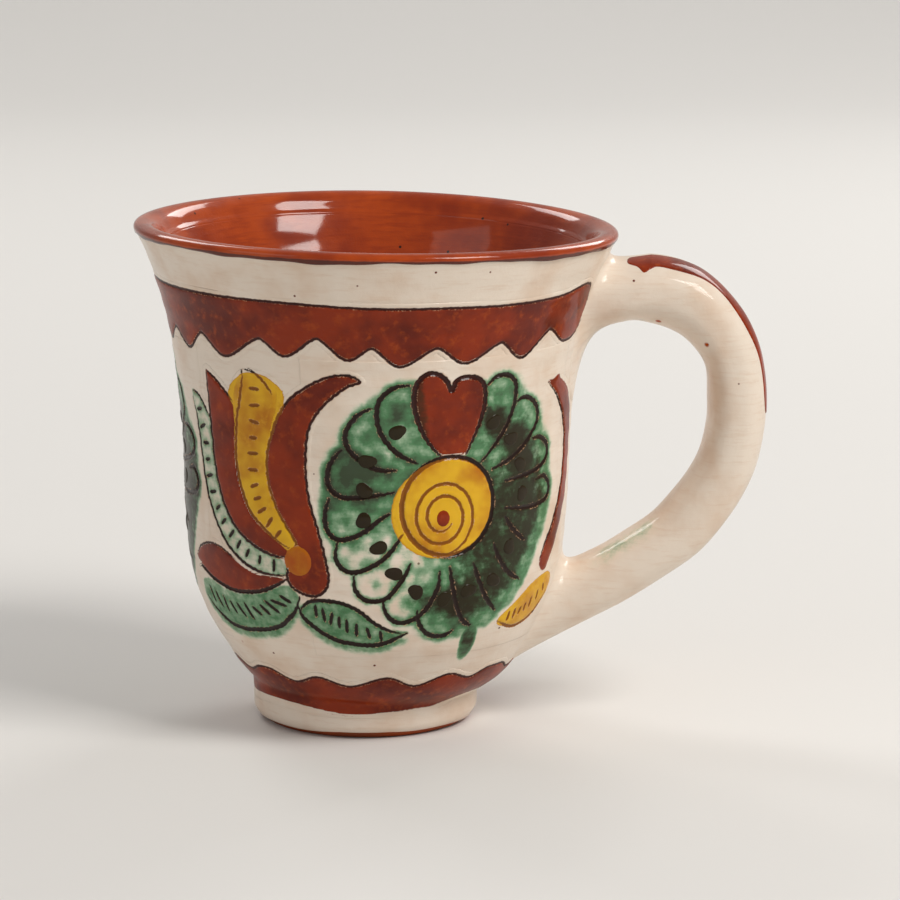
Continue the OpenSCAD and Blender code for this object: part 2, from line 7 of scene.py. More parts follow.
import bmesh
import bpy
import numpy as np
from bpy.props import FloatProperty, FloatVectorProperty, PointerProperty
from bpy.types import Operator, Panel, PropertyGroup
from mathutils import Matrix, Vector


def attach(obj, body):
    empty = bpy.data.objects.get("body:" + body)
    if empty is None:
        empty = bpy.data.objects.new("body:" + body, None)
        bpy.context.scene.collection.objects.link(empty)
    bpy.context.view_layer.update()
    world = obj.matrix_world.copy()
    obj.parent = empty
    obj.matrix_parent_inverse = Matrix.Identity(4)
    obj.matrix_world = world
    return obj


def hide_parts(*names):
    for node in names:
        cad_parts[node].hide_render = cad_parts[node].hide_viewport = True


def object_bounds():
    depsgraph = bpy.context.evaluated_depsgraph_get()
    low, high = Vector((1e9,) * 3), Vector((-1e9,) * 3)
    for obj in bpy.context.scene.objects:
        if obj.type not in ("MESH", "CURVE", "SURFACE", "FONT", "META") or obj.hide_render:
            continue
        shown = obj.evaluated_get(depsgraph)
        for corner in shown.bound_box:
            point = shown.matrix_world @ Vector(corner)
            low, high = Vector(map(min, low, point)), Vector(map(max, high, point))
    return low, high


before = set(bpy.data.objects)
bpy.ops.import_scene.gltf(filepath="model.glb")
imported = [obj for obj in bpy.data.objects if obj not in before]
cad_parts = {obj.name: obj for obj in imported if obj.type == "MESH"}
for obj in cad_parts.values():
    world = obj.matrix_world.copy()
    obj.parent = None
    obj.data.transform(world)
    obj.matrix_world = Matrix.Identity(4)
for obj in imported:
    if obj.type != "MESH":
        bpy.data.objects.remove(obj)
CAD_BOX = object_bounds()

bl_info = {
    "name": "Clay mug with carved slip",
    "version": (1, 0, 0),
    "blender": (4, 5, 0),
    "location": "View3D > Sidebar > Mug",
    "description": "Builds the clay mug's coats, carved ornament, handle and glazes, and its stage",
    "category": "Object",
}

MM = 0.001
# Most point-and-span pairs measured at once, which bounds the memory used
BLOCK = 2_000_000


def linear(hex_colour):
    """An sRGB hex colour as linear red, green and blue. Its low end is divided by 12.92, and the rest is
    raised to the power of 2.4."""
    parts = np.array([int(hex_colour[i:i + 2], 16) for i in (1, 3, 5)]) / 255
    return tuple(np.where(parts <= 0.04045, parts / 12.92, ((parts + 0.055) / 1.055) ** 2.4))


def length(name, description, millimetres):
    """A length a user may change, kept in metres and given here in millimetres."""
    return FloatProperty(name=name, description=description, default=millimetres * MM, min=0,
                         subtype="DISTANCE", unit="LENGTH")


def colour(name, description, hex_colour):
    """A colour a user may change."""
    return FloatVectorProperty(name=name, description=description, default=linear(hex_colour),
                               size=3, min=0, max=1, subtype="COLOR")


class MugShape(PropertyGroup):
    """The mug's driving sizes"""
    cup_h: length("Height", "From the table to the top of the lip", CAD_BOX[1].z / MM)
    rim_d: length("Rim", "Diameter across the lip", 90)
    flare_d: length("Flare", "Diameter where the mouth starts to flare", 77.4)
    waist_d: length("Waist", "Diameter at the waist", 73.2)
    bowl_d: length("Bowl", "Diameter of the bowl above the foot", 58.6)
    foot_d: length("Foot", "Diameter of the foot", 42.2)
    foot_h: length("Foot height", "Height of the foot up into the bowl", 8.6)
    foot_shift: length("Foot shift", "How far the foot stands off the axis, away from the handle", 2)
    wall_t: length("Wall", "Thickness of the clay under the lip", 3.8)
    heel_t: length("Heel", "Thickness of the clay where the wall leaves the floor", 8)
    floor_z: length("Floor", "Height of the clay floor inside", 9.2)
    slip_t: length("Slip", "Thickness of the white slip", 0.5)
    glaze_t: length("Glaze", "Thickness of the clear glaze inside", 0.4)
    rim_tilt: length("Rim tilt", "How far the rim hangs lower at the handle than opposite it", 1.7)
    handle_reach: length("Reach", "From the axis to the outside of the handle", 72.6)
    handle_top_z: length("Handle top", "Height of the middle of the handle's arch", 87.6)
    handle_foot_z: length("Handle foot", "Height where the handle's underside meets the bowl", 13.2)
    handle_thick: length("Handle thickness", "Thickness of the handle across the loop", 10.2)
    handle_wide: length("Handle width", "Width of the handle", 16.4)


class MugCarving(PropertyGroup):
    """Sizes of the carving and the paint"""
    line_w: length("Line", "Width of a cut line", 0.94)
    line_depth: length("Depth", "Depth of a cut line", 0.3)
    burr_h: length("Burr", "Height of the burr thrown up beside a cut line", 0.07)
    paint_t: length("Paint", "Thickness of the coloured slip over the white", 0.12)
    step: length("Detail", "Spacing of the grid that the carved pieces are made on", 0.27)


class MugColours(PropertyGroup):
    """Colours of the clay, the slips and the glazes"""
    white: colour("White slip", "Cream-white slip under clear glaze", "#E8DACA")
    white_thin: colour("Thin white slip", "White slip where the clay warms it", "#D3B295")
    green_thin: colour("Thin green", "Copper green where it is thin", "#A6C2A2")
    green: colour("Green", "Copper green", "#3A784A")
    green_deep: colour("Deep green", "Copper green where it has run together", "#07320F")
    green_pool: colour("Pooled green", "Copper green where it pools, nearly black", "#241B00")
    yellow: colour("Yellow", "Iron yellow glaze", "#E0AE1E")
    amber: colour("Amber", "Iron yellow glaze where it is thick", "#B87008")
    brown: colour("Brown slip", "Iron-brown slip under glaze", "#8A2A00")
    brown_dark: colour("Dark brown slip", "Iron-brown slip where it is thick", "#5E1600")
    brown_light: colour("Light brown slip", "Iron-brown slip where it is thin", "#A64204")
    cut: colour("Cut line", "Clay laid bare in a cut line and stained dark", "#24120A")
    cut_brown: colour("Cut line in brown", "A cut line at the edge of brown slip", "#3A1006")
    golden: colour("Golden line", "A cut line under yellow glaze", "#8A5008")
    # The burr colour is partly a painted highlight: the pale edge also stands in for light caught on the
    # burr's lip
    burr: colour("Burr", "Bare pale edge beside a cut line", "#D9A983")
    terracotta: colour("Glazed clay", "Red clay under clear glaze", "#B34504")
    # The bare clay is darkened partly as painted shade: at the foot's lower edge it also stands in for the
    # shadow where the mug meets the table
    clay: colour("Bare clay", "Unglazed red clay", "#7E3C1C")


def in_mm(group):
    """A property group's lengths by name, in millimetres."""
    return {key: getattr(group, key) / MM for key in group.__annotations__}


def smoothstep(x, low, high):
    """0 below low, 1 above high, and 3t² − 2t³ between them."""
    t = np.clip((x - low) / (high - low), 0, 1)
    return t * t * (3 - 2 * t)


def curve(points, closed=False, per_span=7):
    """A smooth line through points: on each span a cubic, whose slope at a point is half the step between
    that point's neighbours."""
    p = np.asarray(points, float)
    ends = (p[-1:], p[:2]) if closed else (2 * p[:1] - p[1:2], 2 * p[-1:] - p[-2:-1])
    row = np.vstack([ends[0], p, ends[1]])
    a, b, c, d = (row[i:len(row) - 3 + i, None] for i in range(4))
    t = (np.arange(per_span) / per_span)[None, :, None]
    smooth = 0.5 * (2 * b + (c - a) * t + (2 * a - 5 * b + 4 * c - d) * t ** 2
                    + (3 * b - a - 3 * c + d) * t ** 3)
    flat = smooth.reshape(-1, p.shape[1])
    return np.vstack([flat, flat[:1] if closed else p[-1:]])


class Wall:
    """The mug's outer skin: a smooth curve through the named diameters, turned about the axis. Its upper
    part is sheared down towards the handle, as the rim hangs, and throwing leaves soft waves in it."""

    STATION_SHARES = (0.044, 0.097, 0.172, 0.227, 0.302, 0.422, 0.603, 0.797, 0.907)
    TILT_FROM_Z = 60
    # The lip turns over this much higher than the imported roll, and its near side stands higher still
    LIP_FROM_Z, LIP_RAISE = 84, 0.9
    LEAN_FROM_Z, LEAN, BOW = 86.5, 0.775, 0.525
    # Depths of the throwing rings and of two slow hand-made waves, and how softly the foot meets the wall
    RING_DEPTH, SLOW_DEPTH, SLOWER_DEPTH = 0.035, 0.06, 0.04
    FOOT_BLEND = 0.4
    # The white slip ends this far below the top of the lip
    SLIP_BELOW = 1.45

    def __init__(self, shape):
        vars(self).update(in_mm(shape))
        self.unroll_r = self.waist_d / 2
        self.lip_t = self.slip_t + self.wall_t + self.glaze_t
        self.arc_z = self.cup_h - self.lip_t / 2
        self.base_z = self.STATION_SHARES[0] * self.cup_h
        self.slip_top = self.cup_h - self.SLIP_BELOW
        # Each station's diameter is a mix of the named ones, from the foot's underside to the lip
        diameters = (0.8 * self.foot_d, 0.64 * self.foot_d + 0.36 * self.bowl_d, self.bowl_d,
                     0.6 * self.bowl_d + 0.4 * self.waist_d, 0.27 * self.bowl_d + 0.73 * self.waist_d,
                     0.095 * self.bowl_d + 0.905 * self.waist_d, self.waist_d, self.flare_d,
                     0.51 * self.flare_d + 0.49 * self.rim_d, self.rim_d)
        self.z = np.append(np.array(self.STATION_SHARES) * self.cup_h, self.arc_z)
        self.r = np.array(diameters) / 2
        rise, run = self.r[2:] - self.r[:-2], self.z[2:] - self.z[:-2]
        steps = np.diff(self.r) / np.diff(self.z)
        self.slope = np.concatenate([steps[:1], rise / run, steps[-1:]])

    def radius(self, z):
        """Radius of the skin: a cubic Hermite curve through the stations."""
        z = z - self.LIP_RAISE * smoothstep(np.asarray(z, float), self.LIP_FROM_Z, self.slip_top)
        i = np.clip(np.searchsorted(self.z, z) - 1, 0, len(self.z) - 2)
        h = self.z[i + 1] - self.z[i]
        t = np.clip((z - self.z[i]) / h, -0.5, 1.5)
        return (self.r[i] * (2 * t ** 3 - 3 * t ** 2 + 1) + self.r[i + 1] * (3 * t ** 2 - 2 * t ** 3)
                + h * self.slope[i] * (t ** 3 - 2 * t ** 2 + t) + h * self.slope[i + 1] * (t ** 3 - t ** 2))

    def drop(self, x, y, z):
        """How far a point hangs lower: nothing up to a height, then more towards the rim and the handle.
        The lip alone also leans a little towards the back."""
        share = self.rim_tilt / self.rim_d * (x + self.rim_d / 2)
        back = 2 * y / self.rim_d
        lean = (self.LEAN * back - self.BOW * back ** 2) * smoothstep(z, self.LEAN_FROM_Z, self.slip_top)
        return share * smoothstep(z, self.TILT_FROM_Z, self.cup_h) + lean

    def waves(self, angle, z):
        """Depth of the throwing rings and of slow hand-made unevenness, always inwards."""
        rings = self.RING_DEPTH * (1 + np.sin(z * 1.5 + angle + 0.8 * np.sin(2 * angle)))
        slow = self.SLOW_DEPTH * (1 + np.sin(3 * angle + z / 9 + 1))
        slow = slow + self.SLOWER_DEPTH * (1 + np.sin(5 * angle - z / 6))
        return rings + slow * smoothstep(z, self.base_z, 20)

    def point(self, s, z, out=0.0):
        """The place (s, z) on the wall, out millimetres off the white slip's face."""
        angle = np.asarray(s) / self.unroll_r
        r = self.radius(z) - self.waves(angle, z) + out
        x, y = r * np.sin(angle), -r * np.cos(angle)
        return np.stack([x, y, z - self.drop(x, y, z)], -1)

    def foot_rise(self, s, z):
        """How far the foot's side stands out of the wall, rounded where they meet. The foot is round about
        an axis of its own."""
        across = -self.foot_shift * np.sin(s / self.unroll_r)
        gap = across + np.sqrt((self.foot_d / 2) ** 2 - self.foot_shift ** 2 + across ** 2) - self.radius(z)
        return 0.5 * (gap + np.sqrt(gap ** 2 + self.FOOT_BLEND))

    def clay_thickness(self, z):
        """Thickness of the clay: thickest at the floor and falling with the ninth power up the wall."""
        share = np.clip(1 - (z - self.floor_z) / (self.arc_z - self.floor_z), 0, 1)
        return self.wall_t + (self.heel_t - self.wall_t) * share ** 9


def new_piece(name, points, faces, material, nodes, values=None):
    """Makes a mesh piece from points in millimetres and quads. values gives attributes, each with one
    number a vertex."""
    mesh = bpy.data.meshes.new(name)
    faces = np.asarray(faces)
    mesh.vertices.add(len(points))
    mesh.vertices.foreach_set("co", (np.asarray(points) * MM).astype(np.float32).ravel())
    mesh.loops.add(faces.size)
    mesh.loops.foreach_set("vertex_index", faces.astype(np.int32).ravel())
    mesh.polygons.add(len(faces))
    mesh.polygons.foreach_set("loop_start", np.arange(0, faces.size, faces.shape[1], dtype=np.int32))
    mesh.update(calc_edges=True)
    mesh.polygons.foreach_set("use_smooth", np.ones(len(faces), bool))
    for key, value in (values or {}).items():
        attribute = mesh.attributes.new(key, "FLOAT", "POINT")
        attribute.data.foreach_set("value", np.broadcast_to(value, len(points)).astype(np.float32))
    mesh.validate()
    mesh.materials.append(material)
    piece = bpy.data.objects.new(name, mesh)
    bpy.context.scene.collection.objects.link(piece)
    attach(piece, "root")
    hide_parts(*nodes)
    return piece


def grid_faces(rows, columns, wrap_rows=False, wrap_columns=False):
    """Quads of a grid of rows by columns of vertices. They face the side from which columns run right and
    rows run up."""
    i = np.arange(rows if wrap_rows else rows - 1)[:, None]
    j = np.arange(columns if wrap_columns else columns - 1)[None, :]
    up, right = (i + 1) % rows, (j + 1) % columns
    corners = (i * columns + j, i * columns + right, up * columns + right, up * columns + j)
    return np.stack([np.broadcast_to(c, (i.size, j.size)) for c in corners], -1).reshape(-1, 4)


def turned(wall, profile, columns, tilt=True, centre=None):
    """Points of a profile of (radius, height) turned about the axis. Where the radius is zero all the
    points of a row meet. centre shifts each row's axis along X."""
    radius, z = np.asarray(profile, float).T
    angle = np.linspace(0, 2 * np.pi, columns, endpoint=False)
    x = radius[:, None] * np.sin(angle) + (0 if centre is None else np.asarray(centre)[:, None])
    y = -radius[:, None] * np.cos(angle)
    z = np.broadcast_to(z[:, None], x.shape)
    height = z - wall.drop(x, y, z) if tilt else z
    return np.stack([x, y, height], -1).reshape(-1, 3)


def line_distance(s, z, line, reach):
    """Distance from each point to a line of straight spans, and how far along the line the nearest place
    is, from 0 to 1. Points beyond reach keep reach."""
    distance, along = np.full(s.shape, float(reach)), np.zeros(s.shape)
    low, high = line.min(0) - reach, line.max(0) + reach
    near = (s > low[0]) & (s < high[0]) & (z > low[1]) & (z < high[1])
    if near.any():
        start, span = line[:-1], np.diff(line, axis=0)
        found = np.flatnonzero(near)
        for block in np.array_split(found, 1 + found.size * len(span) // BLOCK):
            p = np.stack([s.flat[block], z.flat[block]], -1)[:, None] - start
            t = np.clip((p * span).sum(-1) / np.maximum((span ** 2).sum(-1), 1e-9), 0, 1)
            far = np.hypot(*np.moveaxis(p - t[..., None] * span, -1, 0))
            best = far.argmin(1)
            row = np.arange(len(best))
            distance.flat[block] = np.minimum(far[row, best], reach)
            along.flat[block] = (best + t[row, best]) / len(span)
    return distance, along


def region_distance(s, z, outline, reach=4.0):
    """Signed distance to a closed outline, negative inside it, kept within reach on either side."""
    distance, _ = line_distance(s, z, outline, reach)
    low, high = outline.min(0), outline.max(0)
    near = (s > low[0]) & (s < high[0]) & (z > low[1]) & (z < high[1])
    a, b = outline[:-1], outline[1:]
    p_s, p_z = s[near][:, None], z[near][:, None]
    spans = (a[:, 1] > p_z) != (b[:, 1] > p_z)
    rise = np.where(b[:, 1] == a[:, 1], 1, b[:, 1] - a[:, 1])
    crossings = spans & (p_s < a[:, 0] + (b[:, 0] - a[:, 0]) * (p_z - a[:, 1]) / rise)
    inside = np.zeros(s.shape, bool)
    inside[near] = crossings.sum(1) % 2 == 1
    return np.where(inside, -distance, distance)


# Where each ornament stands round the mug: the place of its middle, and how far hand-made copies differ
FLOWER_AT = {"front": (13, 0), "side": (-68.5, 0.5)}
TULIP_AT = {"front": (-25, 0), "back": (-115.6, 0.5)}
SPRAY_AT = {"front": (42, 0), "back": (73, 0.5)}
MIDDLE_Z = 47

# The flower, drawn where it stands on the front. Petal lines start at a petal's outer end
PETAL_LINES = (
    ((5.8, 70.3), (3.2, 69.9), (0.8, 67.8), (0.1, 65), (0.7, 61.5), (2.7, 58.5), (5, 56.7), (7.7, 55.4)),
    ((-0.8, 66), (-3.4, 64.5), (-5.4, 61.6), (-5.4, 59), (-4, 57), (-1.5, 55.2), (1, 54.3), (3.6, 54.3)),
    ((-6.4, 58), (-8.3, 55.6), (-9, 53), (-8.5, 50.8), (-6.5, 49.3), (-4, 49.2), (-1, 49.5), (3.3, 50.2)),
    ((-8.7, 49), (-9.5, 46), (-9.2, 43.2), (-7.5, 41.5), (-5, 41.6), (-2, 43), (0.5, 45), (2.5, 46.3)),
    ((-7.2, 40.7), (-7.6, 38), (-6.5, 36), (-4.5, 35.2), (-2, 35.8), (1, 37.5), (3, 39.5), (4.9, 42.4)),
    ((-4.2, 34.4), (-4, 32), (-2.5, 30.2), (-0.5, 29.7), (2, 30.3), (4, 32.5), (5.6, 34.8), (6.4, 36.8)),
    ((1.2, 29.8), (2, 27.2), (3.8, 25.6), (6, 25.5), (8.5, 26.7), (10.5, 29), (12, 32.2), (12.2, 35)),
    ((8, 27.6), (8.6, 25.2), (10, 23.3), (12, 22.4), (14.2, 22.3), (16, 23.2)),
    ((14.2, 35.7), (15, 31.8), (16.2, 27.8), (18, 25), (20, 23.8)),
    ((19.2, 36), (20.8, 32.2), (22.8, 28.8), (25.4, 26.2)),
    ((23.6, 39.2), (25.4, 35.8), (28, 33), (31, 31.4)),
    ((26.2, 43.8), (28.6, 41), (31.6, 38.8)),
    ((20.6, 69.4), (22.3, 70.8), (24.8, 71), (26.8, 69.4), (27.3, 66.4), (26.3, 62.5), (24, 58.8),
     (20.4, 54.9)),
    ((27.8, 65.4), (29.4, 66), (31.6, 65.3), (33.8, 63), (33.5, 60), (30.5, 56.8), (26.5, 54.4),
     (22.6, 53.2)),
    ((32.8, 57.6), (35.2, 57.5), (37.8, 55.9), (38.2, 53.6), (35.5, 51.8), (31, 51), (26, 50.6)),
    ((34.6, 49.6), (37.6, 49.8), (39.4, 47.5), (38.2, 45.4), (33, 44.8), (26, 45.5)),
)
PETAL_EDGE = (
    (5.5, 70.6), (2.4, 69.8), (0, 67.4), (-3.3, 65), (-5.8, 61.6), (-6.6, 58.4), (-9, 55.6), (-9.3, 51.4),
    (-9.8, 46), (-9.4, 42.6), (-8, 39.8), (-7.8, 36.6), (-4.8, 34.8), (-4.4, 31.2), (-1.6, 29.4),
    (1.2, 28.4), (3.4, 25.2), (7.4, 25.2), (9.2, 23.2), (12.4, 21.8), (16.4, 22.4), (20.5, 22.8),
    (25.6, 25), (31, 29.8), (34, 34.5), (37.4, 40.4), (39.8, 47), (38.8, 51.4), (38.4, 56), (35.6, 59.4),
    (33.6, 64), (29.6, 66.6), (27.4, 69.8), (23.8, 71.4), (20.4, 69.8), (13, 68.4))
PETAL_DOTS = (
    (3.8, 61.4), (-1.6, 56), (-2.2, 50.6), (-2.3, 45), (0.5, 39.9), (3.4, 35), (7.6, 31.4), (13.4, 29.6),
    (18.4, 30.8), (24, 32.2), (27.6, 38), (22.6, 62), (27, 58.4), (29.8, 53.2), (30.6, 47.6))
HEART_LINE = (
    (12, 56.6), (10.2, 58.4), (8.4, 61.2), (7.2, 64.4), (6.7, 67.6), (7.2, 70.6), (9, 72.4), (11, 72.2),
    (12.6, 70.8), (13.6, 68.9), (14.4, 70.8), (16.6, 71.4), (19, 70.7), (20.2, 68.6), (20.3, 65.6),
    (19.6, 62.6), (18.4, 59.6), (17, 56.6))
# The eye and its dot: middle, half width and half height
EYE = (13.9, 47.1, 9.2, 9.2)
EYE_DOT = (12.6, 45, 1.5, 1.75)
# The spiral inside the eye: middle, first and last radius, turns
EYE_SPIRAL = (12.5, 45.3, 7.2, 2.3, 2.25)

# The tulip with its leaves, drawn where it stands on the front
TULIP_PARTS = {
    "tulip_inner": (
        (-2.8, 71), (-5.1, 72.2), (-8.7, 71.6), (-12.3, 69.7), (-15.9, 66.9), (-18.4, 63.3), (-19.9, 59.7),
        (-21, 55.9), (-20.9, 51.3), (-19.5, 47), (-17.3, 43.3), (-15.2, 39.8), (-16.6, 36.6),
        (-17.4, 33.8), (-16.6, 31.8), (-14.4, 30.6), (-11.8, 30.3), (-9.8, 31.5), (-9, 33.6),
        (-9.3, 36.4), (-10.1, 40), (-11.2, 44), (-12.5, 48.3), (-13.1, 53), (-13, 57.6), (-12.3, 61.7),
        (-10.5, 64.9), (-7.9, 67.7), (-5, 70)),
    "tulip_outer": (
        (-35.4, 70.2), (-33, 69), (-30.5, 67.2), (-28.3, 65), (-27.9, 61), (-28.4, 56), (-28, 51.9),
        (-26.9, 48.3), (-25, 44.8), (-22.2, 42.4), (-18.2, 39.8), (-15.6, 38), (-19, 36.9),
        (-24, 38.4), (-28, 40.5), (-31.2, 43.8), (-33.4, 48), (-34.8, 53.4), (-35.2, 59.7), (-35.4, 65.4)),
    "tulip_leaf": (
        (-25.3, 70.7), (-22.6, 71), (-19.9, 70.4), (-18.3, 68.4), (-18.6, 64.8), (-19.9, 60),
        (-21, 55.9), (-20.9, 51.3), (-19.5, 47), (-17.3, 43.3), (-15.2, 40), (-16, 36.6), (-17.8, 38.6),
        (-22.2, 42.2), (-25, 44.8), (-26.9, 48.3), (-28, 51.9), (-28.4, 56), (-28, 61), (-28.2, 65),
        (-27.4, 68.6)),
    "side_leaf": (
        (-41.7, 65.4), (-39.4, 65), (-37.3, 63.4), (-35.6, 61.2), (-35.2, 58), (-34.8, 53.4), (-33.4, 48),
        (-31.2, 43.8), (-28, 40.5), (-24, 38.4), (-19.4, 37.2), (-17.2, 35.6), (-18, 33.8),
        (-21.6, 33.6), (-25.9, 34.3), (-29.4, 36), (-33, 38.9), (-35.6, 42.6), (-37.4, 46.1),
        (-38.7, 50.4), (-39.4, 54), (-39.9, 57.6), (-40.7, 61.1)),
    "base_leaf": (
        (-45.1, 33.4), (-43, 35.4), (-40.1, 36.6), (-37.3, 37.1), (-34.4, 36.9), (-31.6, 35.9),
        (-28, 34.2), (-23.7, 33.4), (-17.4, 33.5), (-20.1, 31.6), (-23.7, 30.1), (-27.3, 29.4),
        (-31, 29.1), (-35.1, 29.6), (-39.4, 30.5), (-43, 31.9)),
    "low_leaf": (
        (-15.2, 29.6), (-16.2, 27.2), (-18, 25.4), (-20.2, 23.7), (-23.7, 22.5), (-27.3, 21.9),
        (-31, 21.5), (-35.1, 21.7), (-38, 22.6), (-40.9, 24), (-43.4, 26), (-43.8, 28.6), (-40, 29.8),
        (-35.1, 29), (-31, 28.6), (-27.3, 28.9), (-23.7, 29.6), (-20.1, 31.1), (-17.2, 31.8)),
    "mid_leaf": (
        (-15.4, 27.6), (-13.7, 28.9), (-11.6, 29.5), (-8.7, 29.5), (-5.9, 29), (-3, 27.6), (-0.9, 25.8),
        (2, 24.1), (6.4, 23.4), (4.1, 22.2), (2, 21.3), (-0.9, 20.8), (-4.4, 21), (-8, 21.6),
        (-10.9, 22.9), (-13, 24.4), (-14.8, 26)),
}
TULIP_LINES = (
    ((-25.5, 72.2), (-25.6, 69.7), (-26.6, 65.4), (-27.6, 61.9), (-28.1, 58.3), (-28.4, 55.4), (-28, 51.9),
     (-26.9, 48.3), (-25, 44.8), (-22.2, 42.4), (-18.6, 39.9), (-15.6, 38.8)),
    ((-25.4, 72.1), (-23, 71.5), (-20.9, 70), (-19.1, 67.6)),
    ((-35.4, 70.2), (-33, 69), (-30.5, 67.2), (-28.4, 65.2)),
    ((-35.4, 70.2), (-35.4, 65.4), (-35.2, 59.7), (-34.8, 53.4), (-33.4, 48), (-31.2, 43.8), (-28, 40.5),
     (-24, 38.4), (-20, 37.3), (-17.2, 37.4)),
    ((-41.7, 64), (-40.6, 61.1), (-39.9, 57.6), (-39.4, 54), (-38.7, 50.4), (-37.4, 46.1), (-35.6, 42.6),
     (-33, 38.9), (-29.4, 36), (-25.9, 34.4), (-21.6, 33.6), (-17.6, 33.8)),
    ((-41.7, 65.4), (-39.4, 65), (-37.3, 63.4), (-35.6, 61.2)),
    ((-44.8, 33.6), (-43, 35.4), (-40.1, 36.6), (-37.3, 37.1), (-34.4, 36.9), (-31.6, 35.9), (-29.6, 35)),
    ((-44.8, 31.4), (-43, 31.6), (-39.4, 30.5), (-35.1, 29.6), (-31, 29.1), (-27.3, 29.4), (-23.7, 30.1),
     (-20.1, 31.6), (-17.4, 33.2)),
    ((-15, 30), (-16.2, 27.2), (-18, 25.4), (-20.2, 23.7), (-23.7, 22.5), (-27.3, 21.9), (-31, 21.5),
     (-35.1, 21.7), (-38, 22.6), (-40.9, 24), (-43.4, 26)),
    ((-15.6, 28), (-14.8, 26), (-13, 24.4), (-10.9, 22.9), (-8, 21.6), (-4.4, 21), (-0.9, 20.8),
     (2, 21.3), (4.1, 22.2), (6.4, 23.3)),
    ((-15, 27.6), (-13.6, 28.9), (-11.6, 29.5), (-8.7, 29.5), (-5.9, 29), (-3, 27.6), (-0.9, 25.8),
     (2, 24.1), (5, 23.2)),
)
TULIP_LINE_WIDTHS = (0.65, 0.6, 0.6, 0.7, 0.75, 0.6, 0.5, 0.9, 0.95, 1, 0.85)
TULIP_BALL = (-14.9, 36.8, 2.9, 3)
# Short strokes down the middle of each leaf: where the row runs, how many, how long, and their lean from
# the row's own direction in degrees
TULIP_DASHES = (
    (((-23, 68.3), (-23.4, 62), (-24.2, 56), (-24, 50), (-22.4, 45.6), (-18.8, 41.6)), 11, 2.1, 96),
    (((-39.2, 62.2), (-37.6, 56), (-36.8, 50), (-34.4, 44.4), (-30.6, 40), (-26.4, 37), (-20.2, 35.4)),
     13, 2, 88),
    (((-40.2, 26.8), (-34, 25.6), (-28, 25.5), (-22.6, 26.8), (-18.2, 29.2)), 11, 3.3, 128),
    (((-12, 27.4), (-8.4, 25.9), (-4.6, 24.2), (1, 22.8)), 8, 2.5, 112),
)

# The spray beside the handle, drawn where it stands on the front
SPRAY_PARTS = {
    "crescent": (
        (36.4, 67.9), (38.4, 68.2), (40.4, 68.8), (41.4, 67.9), (44.8, 66), (48, 63), (50.4, 59),
        (51.2, 54.7), (50.8, 49.7), (49.6, 45.4), (47.6, 41.6), (45.2, 37.6), (42.7, 34), (40.6, 31.6),
        (38.6, 31.8), (37.6, 33.6), (38.8, 36.2), (41.3, 39.4), (43.4, 42.8), (45.2, 46.4), (46.2, 49.7),
        (46.5, 53.3), (46.2, 56.2), (44.8, 59.4), (42.6, 62.4), (39.8, 65.2)),
    "small_leaf": (
        (27.2, 23.6), (29.9, 22.4), (32.7, 21.7), (35.6, 21.9), (38.4, 22.7), (41.3, 24.5), (43.4, 26.7),
        (44.4, 29), (42.6, 30.4), (39.9, 30.4), (36.3, 29.5), (33.4, 28), (30.6, 26.2)),
}
SPRAY_LINES = (
    ((36.4, 67.9), (39.8, 65.2), (42.6, 62.4), (44.8, 59.4), (46.2, 56.2), (46.5, 53.3), (46.2, 49.7),
     (45.2, 46.4), (43.4, 42.8), (41.3, 39.4), (38.8, 36.2), (37.6, 33.8)),
    ((27, 23.7), (29.9, 22.4), (32.7, 21.7), (35.6, 21.9), (38.4, 22.7), (41.3, 24.5), (43.4, 26.8)),
)
SPRAY_DASHES = ((((30, 24.2), (33.4, 24.8), (36.6, 25.9), (41, 28)), 7, 1.7, 74),)

# The upper band: its top edge, the lowest and highest places of its scallops, and its two ends
BAND_TOP = (
    (-163, 84.9), (-140, 85.2), (-110, 84.8), (-80, 85.2), (-50, 85.1), (-36, 85.3), (-22, 85.6),
    (-13, 85.7), (0, 85.4), (12, 85.4), (22, 85.2), (31, 85.3), (36, 85.6), (41, 86.4), (44, 86.5),
    (47, 86.2))
SCALLOPS = (
    (-45.5, 76.8), (-40.5, 73.7), (-35.2, 77.4), (-29.5, 73.7), (-20.9, 78.2), (-16.3, 75.2), (-10, 79.2),
    (-4.8, 75.1), (-0.7, 77.6), (4, 73.9), (10.5, 77.5), (15.8, 74.1), (22.7, 77.7), (27.5, 74),
    (34.3, 78.8), (40.5, 75.4))
SCALLOP_PITCH = 11.6
BAND_START_S = -164
BAND_END = ((44, 86.4), (45.8, 85.8), (47, 84), (48, 81.4), (47.9, 79), (46.3, 76.9), (43.8, 75.6),
            (41, 75.4))
# The lower band's upper edge over the front: its highest and lowest places
LOW_WAVES = ((-30, 13.4), (-22, 11.5), (-15, 13.1), (-7, 11.5), (3, 13.5), (10, 11.5), (19, 13.5),
             (26, 12), (32, 13.4))


def drawn_at(points, own_s, place, mirrored=False):
    """Points drawn round own_s, moved to another place round the mug. A copy drifts from the first
    drawing by two slow waves, so that no two are alike, and a mirrored one turns its face."""
    at, drift = place
    p = np.array(points, float)[:, :2]
    across = (p[:, 0] - own_s) * (-1 if mirrored else 1)
    up = p[:, 1] + drift * np.cos(0.21 * across + at)
    return np.stack([at + across + drift * np.sin(0.24 * (p[:, 1] - MIDDLE_Z) + at), up], -1)


def ring(x, z, half_w, half_h, count=40):
    """Points of an ellipse, closed."""
    a = np.linspace(0, 2 * np.pi, count + 1)
    return np.stack([x + half_w * np.cos(a), z + half_h * np.sin(a)], -1)


def spiral(x, z, first, last, turns):
    """Points of a spiral whose radius falls evenly, a little taller than it is wide."""
    a = np.linspace(0, 2 * np.pi * turns, int(44 * turns)) - 2.2
    r = np.linspace(first, last, len(a))
    return np.stack([x + 0.95 * r * np.cos(a), z + 1.04 * r * np.sin(a)], -1)


